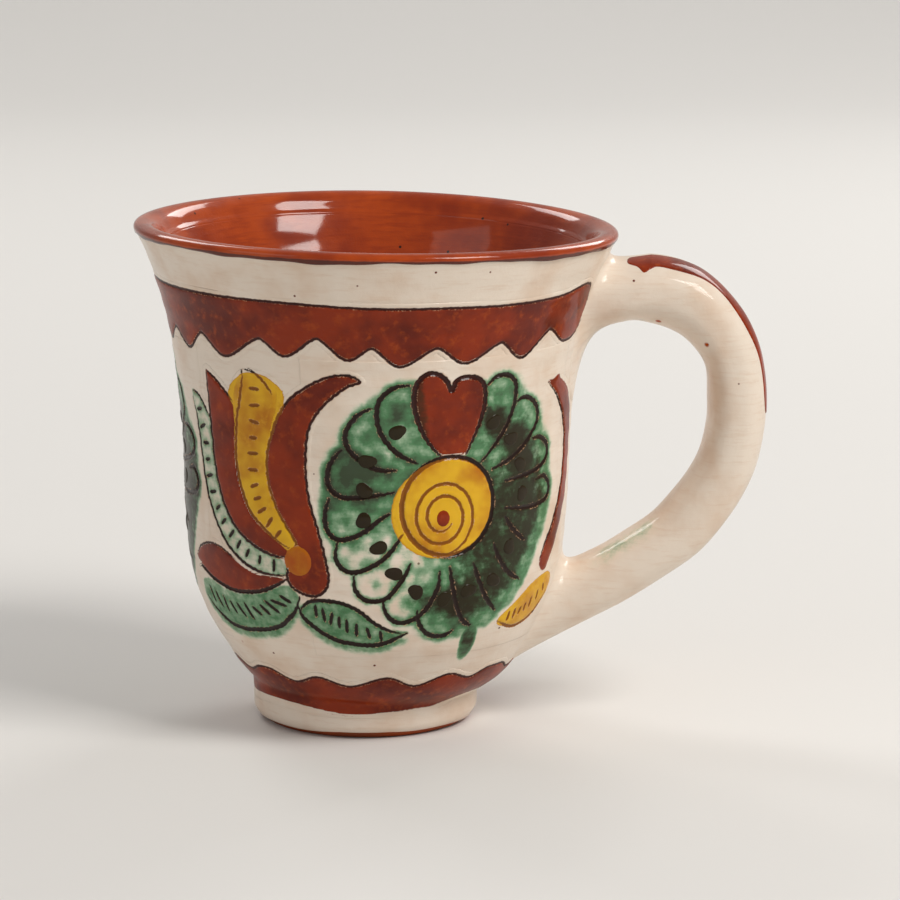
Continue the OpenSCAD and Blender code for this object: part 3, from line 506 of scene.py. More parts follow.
def dashes(row, count, long, lean):
    """Short strokes at even steps along a row, each leaning from the row's direction by the given angle
    and a little unlike its neighbours."""
    line = curve(row)
    at = np.linspace(0, len(line) - 1, count)
    middle = np.stack([np.interp(at, np.arange(len(line)), line[:, k]) for k in (0, 1)], -1)
    heading = np.gradient(middle, axis=0)
    angle = np.arctan2(heading[:, 1], heading[:, 0]) + np.radians(lean + 9 * np.sin(2.3 * np.arange(count)))
    half = 0.5 * long * (1 + 0.16 * np.sin(1.7 * np.arange(count)))
    reach = half[:, None] * np.stack([np.cos(angle), np.sin(angle)], -1)
    return [np.stack([m - r, m + r]) for m, r in zip(middle, reach)]


def wrapped(s, at, turn):
    """s brought by whole turns to within half a turn of a place."""
    return (s - at + turn / 2) % turn - turn / 2 + at


# The green glaze round a flower's eye: at each angle from the handle's side, in degrees, how thick the
# green is and how much of it has pooled dark
GREEN_ROUND = (
    (-180, -160, -140, -120, -100, -80, -55, -30, 0, 22, 45, 70, 100, 130, 155, 180),
    (0.46, 0.34, 0.2, 0.24, 0.36, 0.5, 0.6, 0.62, 0.6, 0.5, 0.46, 0.42, 0.42, 0.5, 0.58, 0.46),
    (0, 0, 0, 0, 0.1, 0.4, 0.72, 0.85, 0.85, 0.6, 0.3, 0.06, 0, 0, 0.06, 0))
# Where the green has run together on the flower: place, radius, more green and more dark pool
BLOTCHES = (
    (-4.7, 53.6, 2.6, 0.42, 0), (-2, 49, 2.2, 0.4, 0), (-6.5, 57.5, 1.8, 0.34, 0), (3.4, 65, 2, 0.4, 0),
    (-1.4, 54.4, 2, 0.3, 0), (2.6, 57.8, 1.8, -0.2, 0), (4.6, 61.2, 2, -0.1, 0),
    (22.9, 62.3, 3.2, 0.4, 0.7), (28.4, 58.4, 3, 0.4, 0.6), (30, 54, 2.6, 0.4, 0.6),
    (9.5, 29.5, 3, 0.3, 0.3), (16, 28, 4, 0.4, 0.5), (25.5, 68, 2.2, 0.15, 0), (-8.8, 47, 2.4, 0.3, 0),
    (-9, 52, 2.2, 0.3, 0))
# Thickness of the green glaze on each green leaf
LEAF_GREEN = {"side_leaf": 0.17, "low_leaf": 0.32, "mid_leaf": 0.36}


class Ornament:
    """Everything carved and painted on the wall, in places (s, z): cut lines, painted outlines and washes
    of glaze. Far from any line the distance to one reads UNCUT_D."""

    UNCUT_D = 1.5
    # How far from a flower's middle its washes reach, round the mug and between which heights
    WASH_S, WASH_Z = 36, (12, 80)
    # The drip that hangs from the flower: its place from the flower's middle, half width and half height
    DRIP = (7.4, -26.5, 2.1, 4.2)

    def __init__(self, wall, sizes):
        self.wall, self.turn = wall, 2 * np.pi * wall.unroll_r
        vars(self).update(in_mm(sizes))
        self.cuts, self.outlines = [], {}
        self.flowers, self.leaves, self.yellows, self.balls = [], [], [], []
        for side, place in FLOWER_AT.items():
            self.add_flower(side, place)
        for side, place in TULIP_AT.items():
            self.add_tulip(side, place)
        for side, place in SPRAY_AT.items():
            self.add_spray(side, place)
        self.add_bands()

    def cut(self, line, width_share=1.0, rough=0.09):
        """Keeps a cut line. Its points shake a little, as a hand-held tool does."""
        count = np.arange(len(line))
        shake = np.stack([np.sin(count * 1.9 + line[0, 1]), np.sin(count * 2.7 + line[0, 0])], -1)
        shaken = line + rough * shake
        if np.allclose(line[0], line[-1]):
            shaken[-1] = shaken[0]
        self.cuts.append((shaken, width_share * self.line_w / 2))

    def add_flower(self, side, place):
        """A flower's lines and outlines: petals, heart, eye, spiral, dot and the edge of the green."""
        own = FLOWER_AT["front"][0]
        for points in PETAL_LINES:
            self.cut(curve(drawn_at(points, own, place)))
        heart = curve(drawn_at(HEART_LINE, own, place))
        self.cut(heart, 1.05)
        self.outlines[side + "_heart"] = np.vstack([heart, heart[:1]])
        eye = drawn_at(ring(*EYE, count=90), own, place)
        self.cut(eye, 1.05, 0.05)
        self.outlines[side + "_eye"] = eye
        self.cut(drawn_at(spiral(*EYE_SPIRAL), own, place), 0.72, 0.05)
        self.outlines[side + "_eye_dot"] = drawn_at(ring(*EYE_DOT), own, place)
        edge = curve(drawn_at(PETAL_EDGE, own, place), closed=True)
        self.outlines[side + "_petals"] = edge
        self.flowers.append((place[0], edge, self.outlines[side + "_eye"], self.outlines[side + "_heart"],
                             drawn_at(PETAL_DOTS, own, place)))

    def add_tulip(self, side, place):
        """A tulip's lines and outlines, with its leaves, their dashes and the ball."""
        own = TULIP_AT["front"][0]
        for name, points in TULIP_PARTS.items():
            outline = curve(drawn_at(points, own, place), closed=True)
            self.outlines[f"{side}_{name}"] = outline
            if name in LEAF_GREEN:
                self.leaves.append((place[0], outline, LEAF_GREEN[name]))
            if name == "tulip_leaf":
                self.yellows.append((place[0], outline, 1.1))
        self.cut(self.outlines[side + "_tulip_inner"], 0.6)
        for points, width in zip(TULIP_LINES, TULIP_LINE_WIDTHS):
            self.cut(curve(drawn_at(points, own, place)), width)
        for row in TULIP_DASHES:
            for stroke in dashes(*row):
                self.cut(drawn_at(stroke, own, place), 0.8)
        ball = drawn_at(ring(*TULIP_BALL), own, place)
        self.balls.append(ball)
        self.outlines[side + "_ball"] = ball

    def add_spray(self, side, place):
        """The crescent and the small leaf beside the handle, which turn their faces at the back."""
        own, mirrored = SPRAY_AT["front"][0], side == "back"
        for name, points in SPRAY_PARTS.items():
            outline = curve(drawn_at(points, own, place, mirrored), closed=True)
            self.outlines[f"{side}_{name}"] = outline[::-1] if mirrored else outline
            if name == "small_leaf":
                self.yellows.append((place[0], outline, 0.1))
        for points in SPRAY_LINES:
            self.cut(curve(drawn_at(points, own, place, mirrored)), 0.7)
        for row in SPRAY_DASHES:
            for stroke in dashes(*row):
                self.cut(drawn_at(stroke, own, place, mirrored), 0.8)

    def add_bands(self):
        """The upper band's lower edge goes from each lowest place to the next highest one as
        2.4t² − 1.4t³, which leaves the lobes round and the notches sharper. Round the back the scallops
        are regular."""
        first = SCALLOPS[0][0]
        back = first - SCALLOP_PITCH / 2 * np.arange(1, int((first - BAND_START_S) / SCALLOP_PITCH * 2) + 2)
        high = np.arange(1, len(back) + 1) % 2 == 0
        levels = np.where(high, 77.4, 74) + 0.5 * np.sin(back)
        s, z = np.concatenate([np.stack([back, levels], -1)[::-1], SCALLOPS]).T
        line_s = np.arange(s[0], SCALLOPS[-1][0], 0.4)
        i = np.clip(np.searchsorted(s, line_s) - 1, 0, len(s) - 2)
        share = (line_s - s[i]) / (s[i + 1] - s[i])
        rising = z[i + 1] > z[i]
        t = np.where(rising, share, 1 - share)
        low, high = np.minimum(z[i], z[i + 1]), np.maximum(z[i], z[i + 1])
        scallops = np.stack([line_s, low + (high - low) * (2.4 * t ** 2 - 1.4 * t ** 3)], -1)
        top, end = curve(BAND_TOP), curve(BAND_END)
        top = top[(top[:, 0] > BAND_START_S) & (top[:, 0] < end[0, 0])]
        low_edge = scallops[scallops[:, 0] > BAND_START_S + 1]
        outline = np.vstack([top, end, low_edge[::-1], [(BAND_START_S, 78), (BAND_START_S, 83)], top[:1]])
        self.outlines["upper_band"] = outline
        self.cut(outline, 0.6, 0.04)
        wave_s = np.linspace(-self.turn / 2, self.turn / 2, 400)
        self.cut(np.stack([wave_s, self.low_top(wave_s)], -1), 0.55, 0.04)

    def low_top(self, s):
        """Upper edge of the lower band: 14 even waves, with the front ones where they were drawn."""
        front_s, front_z = np.array(LOW_WAVES).T
        regular = 12.5 + 0.9 * np.cos(2 * np.pi * 14 * (s - 3) / self.turn)
        i = np.clip(np.searchsorted(front_s, s) - 1, 0, len(front_s) - 2)
        t = np.clip((s - front_s[i]) / (front_s[i + 1] - front_s[i]), 0, 1)
        drawn = front_z[i] + (front_z[i + 1] - front_z[i]) * t * t * (3 - 2 * t)
        share = smoothstep(s, -42, -30) * (1 - smoothstep(s, 32, 44))
        return regular + (drawn - regular) * share

    def low_bottom(self, s):
        """Lower edge of the lower band, where the foot's white slip begins: wavy, a little lower in front
        and higher beside the handle."""
        wavy = 5.6 + 0.3 * np.sin(5 * s / self.wall.unroll_r) - 0.8 * np.exp(-((s + 2) / 14) ** 2)
        return wavy + 2.2 * smoothstep(s, 18, 34) * (1 - smoothstep(s, 62, 80))

    def carve(self, s, z):
        """Distance to the edge of the nearest cut line, negative inside it. Open lines narrow at both ends,
        and none runs into a ball."""
        edge = np.full(s.shape, self.UNCUT_D)
        for line, half in self.cuts:
            at = line[:, 0].mean()
            distance, along = line_distance(wrapped(s, at, self.turn), z, line, half + self.UNCUT_D)
            open_line = not np.allclose(line[0], line[-1])
            narrow = np.clip(np.minimum(along, 1 - along) * 6, 0, 1) if open_line else 1
            edge = np.minimum(edge, distance - half * (0.45 + 0.55 * narrow))
        for ball in self.balls:
            inside = -region_distance(wrapped(s, ball[:, 0].mean(), self.turn), z, ball, 2)
            edge = np.where(inside > 0.2, np.maximum(edge, inside), edge)
        return edge

    def relief(self, edge):
        """Height that the tool leaves: a round-bottomed groove inside a cut and a thin burr on its banks."""
        groove = -self.line_depth * smoothstep(-edge, 0, 0.42 * self.line_w)
        return groove + self.burr_h * np.exp(-((edge - 0.16) / 0.15) ** 2)

    def washes(self, s, z, edge):
        """Thickness of the green glaze, of its dark pools and of the yellow at each place, from 0 to 1."""
        green, pool, yellow = (np.zeros(s.shape) for _ in range(3))
        for flower in self.flowers:
            w = wrapped(s, flower[0], self.turn)
            near = (abs(w - flower[0]) < self.WASH_S) & (z > self.WASH_Z[0]) & (z < self.WASH_Z[1])
            laid = self.flower_wash(flower, w[near], z[near], edge[near])
            for field, wash in zip((green, pool, yellow), laid):
                field[near] = np.maximum(field[near], wash)
        for at, outline, wash in self.leaves:
            w = wrapped(s, at, self.turn)
            inside = 1 - smoothstep(region_distance(w, z, outline), -0.3, 0.5)
            below = 1 - smoothstep(region_distance(w, z + 1.5, outline), -0.8, 1.4)
            at_line = 0.16 * np.exp(-np.maximum(edge, 0) / 0.45)
            green = np.maximum(green, (wash + at_line) * inside)
            green = np.maximum(green, 0.42 * below * (z < 36) * (wash > 0.2))
            pool = np.maximum(pool, 0.16 * below * (1 - inside) * (z < 30))
        for at, outline, spill in self.yellows:
            w = wrapped(s, at, self.turn)
            reach = 0.15 + spill * smoothstep(z, 58, 66) * (1 - smoothstep(z, 67.5, 70.5))
            spread = 1 - smoothstep(region_distance(w, z, outline), reach - 0.2, reach + 0.5)
            yellow = np.maximum(yellow, spread)
        return green, pool, yellow

    def flower_wash(self, flower, w, z, edge):
        """One flower's washes. The green goes round the eye as GREEN_ROUND says, thins at the petals' tips,
        thickens beside the cut lines and runs a little over the petals' edge. It pools under the dots, in
        the heart's left side and in the drip. The yellow spills over the eye's lower left edge."""
        at, rim, eye, heart, dots = flower
        u, v = w - at, z - MIDDLE_Z
        around = np.degrees(np.arctan2(v, u))
        rim_d, eye_d, heart_d = (region_distance(w, z, outline) for outline in (rim, eye, heart))
        spot = np.full(u.shape, 9.0)
        for dot in dots:
            spot = np.minimum(spot, np.hypot(w - dot[0], z - dot[1]))
        first_s = FLOWER_AT["front"][0]
        thick, dark = (np.interp(around, GREEN_ROUND[0], row) for row in GREEN_ROUND[1:])
        # The second flower's tips thin only a quarter as much, which leaves it darker: partly painted shade,
        # for that flower where it turns away into the mug's shaded side
        tip = (1 - smoothstep(-rim_d, 0.5, 5)) * (1 if at == first_s else 0.25)
        blotch = 0.09 * np.sin(0.9 * u + 1.3 * v) * np.sin(0.55 * v - 0.7 * u)
        blotch = blotch + 0.04 * np.sin(1.7 * u - 0.8 * v)
        thick = thick + blotch - 0.12 * tip - 0.05 + 0.3 * np.exp(-np.maximum(edge, 0) / 0.55)
        for x, y, radius, more, darker in BLOTCHES:
            run = np.exp(-((u - x + first_s) ** 2 + (v - y + MIDDLE_Z) ** 2) / radius ** 2)
            thick, dark = thick + more * run, dark + darker * run
        halo = 1 - smoothstep(rim_d, -0.4, 2.3)
        free = smoothstep(eye_d, -0.2, 0.5) * smoothstep(heart_d, -0.1, 0.4)
        green = np.clip(thick, 0, 1) * halo * free
        pooled = dark * (1 - 0.75 * tip) + 0.6 * np.exp(-(spot / 1.7) ** 2)
        stain = 0.75 * np.exp(-((u + 4.6 + 0.12 * (v - 14)) / 1.6) ** 2) * (heart_d < 0)
        pool = np.where(heart_d < 0, stain, np.clip(pooled, 0, 1) * halo * free)
        spill = 2.4 * (0.5 + 0.5 * np.cos(np.radians(around + 160))) ** 3
        yellow = 1 - smoothstep(eye_d, spill - 0.9, spill + 0.25)
        drip_s, drip_z, half_w, half_h = self.DRIP
        drip = np.hypot((u - drip_s) / half_w, (v - drip_z) / half_h)
        pool = np.maximum(pool, 0.6 * (1 - smoothstep(drip, 0.5, 1)))
        green = np.maximum(green, 0.7 * (1 - smoothstep(drip, 0.7, 1.15)))
        return green, pool, yellow


class Handle:
    """The pulled handle: an oval section carried round a loop, which leans as the loop turns. Each root
    spreads onto the wall in a fillet. Angle 0 is the loop's outer side, a quarter turn the far side."""

    # How far out between wall and reach, how high between foot and top, lean as a share of a right
    # angle, thickness and width, from the upper root to the lower one
    STATIONS = np.array([
        (-0.11, 0.82, 0.91, 2.75, 1.45), (0.005, 0.845, 0.87, 2.3, 1.34), (0.075, 0.872, 0.82, 1.82, 1.22),
        (0.15, 0.898, 0.78, 1.5, 1.12), (0.24, 0.916, 0.74, 1.32, 1.06), (0.37, 0.922, 0.72, 1.2, 1.02),
        (0.51, 0.913, 0.69, 1.18, 1), (0.65, 0.894, 0.66, 1.15, 1), (0.775, 0.862, 0.59, 1.1, 1),
        (0.885, 0.815, 0.49, 1.05, 1), (0.95, 0.768, 0.37, 1, 1), (0.985, 0.716, 0.21, 0.98, 1),
        (1, 0.645, 0.04, 1, 0.99), (0.997, 0.575, -0.06, 1, 0.98), (0.957, 0.49, -0.14, 1.01, 0.97),
        (0.88, 0.42, -0.23, 1.01, 0.96), (0.77, 0.353, -0.33, 1.01, 0.95), (0.645, 0.293, -0.42, 1.01, 0.94),
        (0.48, 0.241, -0.5, 1.01, 0.94), (0.33, 0.196, -0.6, 1, 0.95), (0.225, 0.168, -0.71, 1.02, 0.98),
        (0.15, 0.156, -0.83, 1.16, 1.04), (0.07, 0.153, -0.96, 1.5, 1.14), (-0.01, 0.153, -1.04, 1.95, 1.28),
        (-0.13, 0.153, -1.08, 2.25, 1.4)])
    # The section's sides follow |x|^2.5 + |y|^2.5 = 1
    SECTION_POWER = 2.5
    # Where each root's fillet starts, which way it runs, and how far it spreads outside, beside and inside
    ROOTS = {"upper": (4.5, -1, (3.5, 1.4, 16)), "lower": (19.6, 1, (1.6, 3, 6.4))}
    # How strongly the fillet is drawn to its corner, and how deep its edge lies under the wall's skin
    FILLET_PULL, FILLET_SUNK = 1.4, 0.04
    # Longest way from the handle's last section to the wall, and how far its plug goes in behind that
    TO_WALL, PLUG = 30.0, 2.0
    SIDES, FILLET_RINGS, LOOP_RINGS, SPAN_STEPS = 80, 16, 170, 12

    def __init__(self, wall):
        self.wall = wall
        self.line = curve(self.STATIONS, per_span=self.SPAN_STEPS)

    def along(self, u):
        """The five values of the stations at any place u between them."""
        at = np.asarray(u, float) * self.SPAN_STEPS
        return [np.interp(at, np.arange(len(self.line)), column) for column in self.line.T]

    def oval(self, x):
        """A cosine or sine, swelled from a circle's to the section's."""
        return np.sign(x) * np.abs(x) ** (2 / self.SECTION_POWER)

    def point(self, u, angle, grow):
        """A place on the handle's skin, grow millimetres outside the clay."""
        out, high, lean, thick, wide = self.along(u)
        w = self.wall
        z = w.handle_foot_z + high * (w.handle_top_z - w.handle_foot_z)
        near = w.radius(z)
        x = near + out * (w.handle_reach - w.handle_thick / 2 - near)
        lean = lean * np.pi / 2
        uneven = 0.07 * (np.sin(1.3 * u + 2 * angle) + np.sin(0.7 * u - 3 * angle) - 2)
        a = (w.handle_thick / 2 * thick + grow + uneven) * self.oval(np.cos(angle))
        b = (w.handle_wide / 2 * wide + grow + uneven) * self.oval(np.sin(angle))
        return np.stack([x + a * np.cos(lean), b, z + a * np.sin(lean)], -1)

    def outside(self, p, out):
        """How far points lie outside the wall's skin, grown by out."""
        x, y, _ = np.moveaxis(p, -1, 0)
        return np.hypot(x, y) - self.wall.radius(self.on_wall(p)[1]) - out

    def on_wall(self, p):
        """The place (s, z) of points near the wall. z is what it was before the rim was tilted."""
        x, y, z = np.moveaxis(p, -1, 0)
        true_z = z + self.wall.drop(x, y, z + self.wall.drop(x, y, z))
        return self.wall.unroll_r * np.arctan2(x, -y), true_z

    def fillet(self, root, grow):
        """Rings from the handle down onto the wall. From each point A of the handle's last section the skin
        runs on to C on the wall, and B lies on the wall, away from the root. The fillet is the weighted
        quadratic Bezier curve A C B, so that it leaves the handle and meets the wall without a crease."""
        u, sign, spread = self.ROOTS[root]
        angle = np.linspace(0, 2 * np.pi, self.SIDES, endpoint=False)
        start = self.point(np.full(self.SIDES, u), angle, grow)
        ahead = self.point(np.full(self.SIDES, u + sign * 0.1), angle, grow).mean(0) - start.mean(0)
        ahead /= np.linalg.norm(ahead)
        near, far = np.zeros(self.SIDES), np.full(self.SIDES, self.TO_WALL)
        wall_out = grow - self.wall.slip_t
        # Halving the way finds where each line that runs on from the handle meets the wall
        for _ in range(30):
            middle = (near + far) / 2
            out = self.outside(start + middle[:, None] * ahead, wall_out) > 0
            near, far = np.where(out, middle, near), np.where(out, far, middle)
        corner = start + near[:, None] * ahead
        s, z = self.on_wall(corner)
        away = np.stack([s - s.mean(), z - z.mean()], -1)
        away /= np.linalg.norm(away, axis=1)[:, None]
        c = np.cos(angle)
        reach = spread[1] + (spread[0] - spread[1]) * np.clip(c, 0, 1) ** 2
        reach += (spread[2] - spread[1]) * np.clip(-c, 0, 1) ** 3
        end_s, end_z = s + reach * away[:, 0], z + reach * away[:, 1]
        end, off_s, off_z = (self.wall.point(end_s + ds, end_z + dz, wall_out - self.FILLET_SUNK)
                             for ds, dz in ((0, 0), (0.1, 0), (0, 0.1)))
        normal = np.cross(off_s - end, off_z - end)
        normal /= np.linalg.norm(normal, axis=1)[:, None]
        # C is lifted on to the plane that touches the wall at B, where it lies under it
        under = np.maximum(((end - corner) * normal).sum(1), 0)
        corner = corner + under[:, None] * normal
        t = np.linspace(0, 1, self.FILLET_RINGS)[:, None, None]
        a, b, c = (1 - t) ** 2, 2 * self.FILLET_PULL * t * (1 - t), t ** 2
        return (a * start + b * corner + c * end) / (a + b + c)

    def skin(self, grow):
        """The whole handle as rings: upper fillet, loop, lower fillet, and a closed plug inside the wall
        at each end."""
        upper, lower = self.fillet("upper", grow), self.fillet("lower", grow)
        angle = np.linspace(0, 2 * np.pi, self.SIDES, endpoint=False)
        u = np.linspace(self.ROOTS["upper"][0], self.ROOTS["lower"][0], self.LOOP_RINGS)[1:-1]
        loop = self.point(u[:, None], angle[None], grow)
        inward = np.array([self.PLUG, 0, 0])
        start, end = upper[-1:] - inward, lower[-1:] - inward
        pole_a = np.broadcast_to(start.mean(1, keepdims=True) - inward, start.shape)
        pole_b = np.broadcast_to(end.mean(1, keepdims=True) - inward, end.shape)
        return np.concatenate([pole_a, start, upper[::-1], loop, lower, end, pole_b])

    def on_skin(self, skin, row, angle):
        """The place on a skin at a ring between two others and at an angle."""
        side = angle / (2 * np.pi) * self.SIDES
        i, j = np.floor(row).astype(int), np.floor(side).astype(int)
        f, g = (row - i)[..., None], (side - j)[..., None]
        j, after = j % self.SIDES, (j + 1) % self.SIDES
        near = (1 - g) * skin[i, j] + g * skin[i, after]
        return (1 - f) * near + f * ((1 - g) * skin[i + 1, j] + g * skin[i + 1, after])


def add(tree, kind, settings=None, inputs=None, out=0, stops=()):
    """Adds a node of a kind, sets its settings and its inputs, a value or another node's output each, and
    gives back the wanted output. stops are a colour ramp's places and colours."""
    made = tree.nodes.new(kind)
    for key, value in (settings or {}).items():
        setattr(made, key, value)
    for key, value in (inputs or {}).items():
        if isinstance(value, bpy.types.NodeSocket):
            tree.links.new(value, made.inputs[key])
        else:
            made.inputs[key].default_value = value
    for k, (place, shade) in enumerate(stops):
        stop = made.color_ramp.elements[k] if k < 2 else made.color_ramp.elements.new(place)
        stop.position, stop.color = place, (*shade, 1)
    return made.outputs[out] if len(made.outputs) else made


NOISE, MATH, MIX, RANGE = "ShaderNodeTexNoise", "ShaderNodeMath", "ShaderNodeMix", "ShaderNodeMapRange"
BLEND = {"data_type": "RGBA"}
SMOOTH = {"interpolation_type": "SMOOTHSTEP"}


def patterns(tree, sizes, stretch=(1, 1, 1)):
    """Noise patterns by name, each from the size of its features in millimetres and its detail. They read
    Object coordinates, stretched where the real marks are."""
    place = add(tree, "ShaderNodeTexCoord", out="Object")
    place = add(tree, "ShaderNodeMapping", None, {"Vector": place, "Scale": stretch})
    return {name: add(tree, NOISE, None, {"Vector": place, "Scale": 1 / (size * MM), "Detail": detail,
                                          "Roughness": 0.6})
            for name, (size, detail) in sizes.items()}


def specks(tree, cell, radius, share):
    """Round specks of a radius in millimetres, in a share of cells of a given size: iron in the clay
    that has burnt through, or chips in the paint."""
    place = add(tree, "ShaderNodeTexCoord", out="Object")
    cells = add(tree, "ShaderNodeTexVoronoi", None, {"Vector": place, "Scale": 1 / (cell * MM)}).node
    size = radius / cell
    dot = add(tree, RANGE, SMOOTH, {0: cells.outputs["Distance"], 1: 0.6 * size, 2: 1.2 * size, 3: 1, 4: 0})
    chosen = add(tree, MATH, {"operation": "LESS_THAN"}, {0: cells.outputs["Color"], 1: share})
    return add(tree, MATH, {"operation": "MULTIPLY"}, {0: dot, 1: chosen})


def new_material(name, roughness, coat=0.0, coat_roughness=0.08):
    """An empty material with its shader. The coat is the glaze: clear glass about a tenth of a
    millimetre thick, which gives the sharp highlights."""
    material = bpy.data.materials.new(name)
    material.use_nodes = True
    tree = material.node_tree
    tree.nodes.clear()
    shader = tree.nodes.new("ShaderNodeBsdfPrincipled")
    shader.inputs["Roughness"].default_value = roughness
    shader.inputs["Coat Weight"].default_value = coat
    shader.inputs["Coat Roughness"].default_value = coat_roughness
    shader.inputs["Specular IOR Level"].default_value = 0.05 if coat else 0.25
    add(tree, "ShaderNodeOutputMaterial", None, {"Surface": shader.outputs[0]})
    return material, tree, shader


def slip_material(name, line, paint=None):
    """White slip brushed over red clay under clear glaze: creamy, faintly streaked along the wheel's turn,
    with iron specks. The piece's own attributes say where copper green, its dark pools and iron yellow
    lie over it, and where the tool has cut through to the clay, which shows in the line colour. paint is the
    light, middle and dark colour of the coloured slip inside the painted outline."""
    hues = {key: (*getattr(bpy.context.scene.mug_colours, key), 1) for key in MugColours.__annotations__}
    material, tree, shader = new_material(name, roughness=0.5, coat=0.42)
    field = {key: add(tree, "ShaderNodeAttribute", {"attribute_name": key}, out="Fac")
             for key in ("cut", "paint", "green", "pool", "yellow")}
    noise = patterns(tree, {"cloud": (11, 3), "mottle": (1.9, 7), "fine": (0.7, 4), "grain": (0.35, 2)})
    streak = patterns(tree, {"streak": (5, 5)}, stretch=(1, 1, 8))["streak"]

    # The white ground, warmer where the clay shows through, with iron specks
    warm = add(tree, RANGE, SMOOTH, {0: noise["cloud"], 1: 0.4, 2: 0.75, 3: 0, 4: 0.5})
    base = add(tree, MIX, BLEND, {0: warm, 6: hues["white"], 7: hues["white_thin"]}, out=2)
    brushed = add(tree, RANGE, SMOOTH, {0: streak, 1: 0.48, 2: 0.75, 3: 0, 4: 0.3})
    base = add(tree, MIX, BLEND, {0: brushed, 6: base, 7: hues["white_thin"]}, out=2)
    base = add(tree, MIX, BLEND, {0: specks(tree, 5, 0.26, 0.47), 6: base, 7: hues["brown_dark"]}, out=2)
    base = add(tree, MIX, BLEND, {0: specks(tree, 10, 0.6, 0.43), 6: base, 7: hues["brown_light"]}, out=2)

    # Copper green, deeper where it lies thicker, and its pools nearly black
    uneven = add(tree, MATH, {"operation": "MULTIPLY_ADD"}, {0: noise["mottle"], 1: 0.75, 2: -0.38})
    thin = add(tree, MATH, {"operation": "MULTIPLY_ADD"}, {0: streak, 1: 0.22, 2: -0.11})
    uneven = add(tree, MATH, {"operation": "ADD"}, {0: uneven, 1: thin})
    green = add(tree, MATH, {"operation": "ADD"}, {0: field["green"], 1: uneven})
    inside = add(tree, RANGE, SMOOTH, {0: field["green"], 1: 0.0, 2: 0.3})
    cover = add(tree, RANGE, SMOOTH, {0: green, 1: -0.02, 2: 0.32, 3: 0, 4: 0.95})
    cover = add(tree, MATH, {"operation": "MULTIPLY"}, {0: cover, 1: inside})
    tint = add(tree, "ShaderNodeValToRGB", None, {0: green}, stops=(
        (0.14, hues["green_thin"][:3]), (0.8, hues["green_deep"][:3]), (0.48, hues["green"][:3])))
    base = add(tree, MIX, BLEND, {0: cover, 6: base, 7: tint}, out=2)
    pool = add(tree, MATH, {"operation": "MULTIPLY_ADD"}, {0: uneven, 1: 1.3, 2: field["pool"]})
    inside = add(tree, RANGE, SMOOTH, {0: field["pool"], 1: 0.0, 2: 0.25})
    pool = add(tree, RANGE, SMOOTH, {0: pool, 1: 0.25, 2: 0.8, 3: 0, 4: 0.93})
    pool = add(tree, MATH, {"operation": "MULTIPLY"}, {0: pool, 1: inside})
    base = add(tree, MIX, BLEND, {0: pool, 6: base, 7: hues["green_pool"]}, out=2)

    # Iron yellow with a ragged edge, amber at that edge and where it mottles
    ragged = add(tree, MATH, {"operation": "MULTIPLY_ADD"}, {0: noise["fine"], 1: 0.7, 2: -0.35})
    yellow = add(tree, MATH, {"operation": "ADD"}, {0: field["yellow"], 1: ragged})
    yellow = add(tree, RANGE, SMOOTH, {0: yellow, 1: 0.38, 2: 0.62})
    glow = add(tree, RANGE, SMOOTH, {0: noise["mottle"], 1: 0.5, 2: 0.8, 3: 0, 4: 0.6})
    rim = add(tree, RANGE, SMOOTH, {0: field["yellow"], 1: 0.45, 2: 1, 3: 0.75, 4: 0})
    glow = add(tree, MATH, {"operation": "MAXIMUM"}, {0: glow, 1: rim})
    glow = add(tree, MIX, BLEND, {0: glow, 6: hues["yellow"], 7: hues["amber"]}, out=2)
    base = add(tree, MIX, BLEND, {0: yellow, 6: base, 7: glow}, out=2)

    # The coloured slip inside its outline, worn at the edge, chipped, and thick or thin by patches
    if paint:
        light, middle, dark = ((*shade, 1) for shade in paint)
        worn = add(tree, MATH, {"operation": "MULTIPLY_ADD"}, {0: noise["fine"], 1: 0.5, 2: -0.25})
        edge = add(tree, MATH, {"operation": "ADD"}, {0: field["paint"], 1: worn})
        painted = add(tree, RANGE, SMOOTH, {0: edge, 1: -0.12, 2: 0.12, 3: 1, 4: 0})
        chips = specks(tree, 9, 0.34, 0.3)
        bare = add(tree, MATH, {"operation": "MULTIPLY_ADD"}, {0: chips, 1: -0.9, 2: 1.0})
        painted = add(tree, MATH, {"operation": "MULTIPLY"}, {0: painted, 1: bare})
        thick = add(tree, RANGE, SMOOTH, {0: noise["cloud"], 1: 0.36, 2: 0.68})
        body = add(tree, MIX, BLEND, {0: thick, 6: middle, 7: dark}, out=2)
        thin = add(tree, RANGE, SMOOTH, {0: noise["mottle"], 1: 0.5, 2: 0.78, 3: 0, 4: 0.75})
        body = add(tree, MIX, BLEND, {0: thin, 6: body, 7: light}, out=2)
        stained = add(tree, MATH, {"operation": "MULTIPLY"}, {0: pool, 1: 0.85})
        body = add(tree, MIX, BLEND, {0: stained, 6: body, 7: hues["green_pool"]}, out=2)
        base = add(tree, MIX, BLEND, {0: painted, 6: base, 7: body}, out=2)
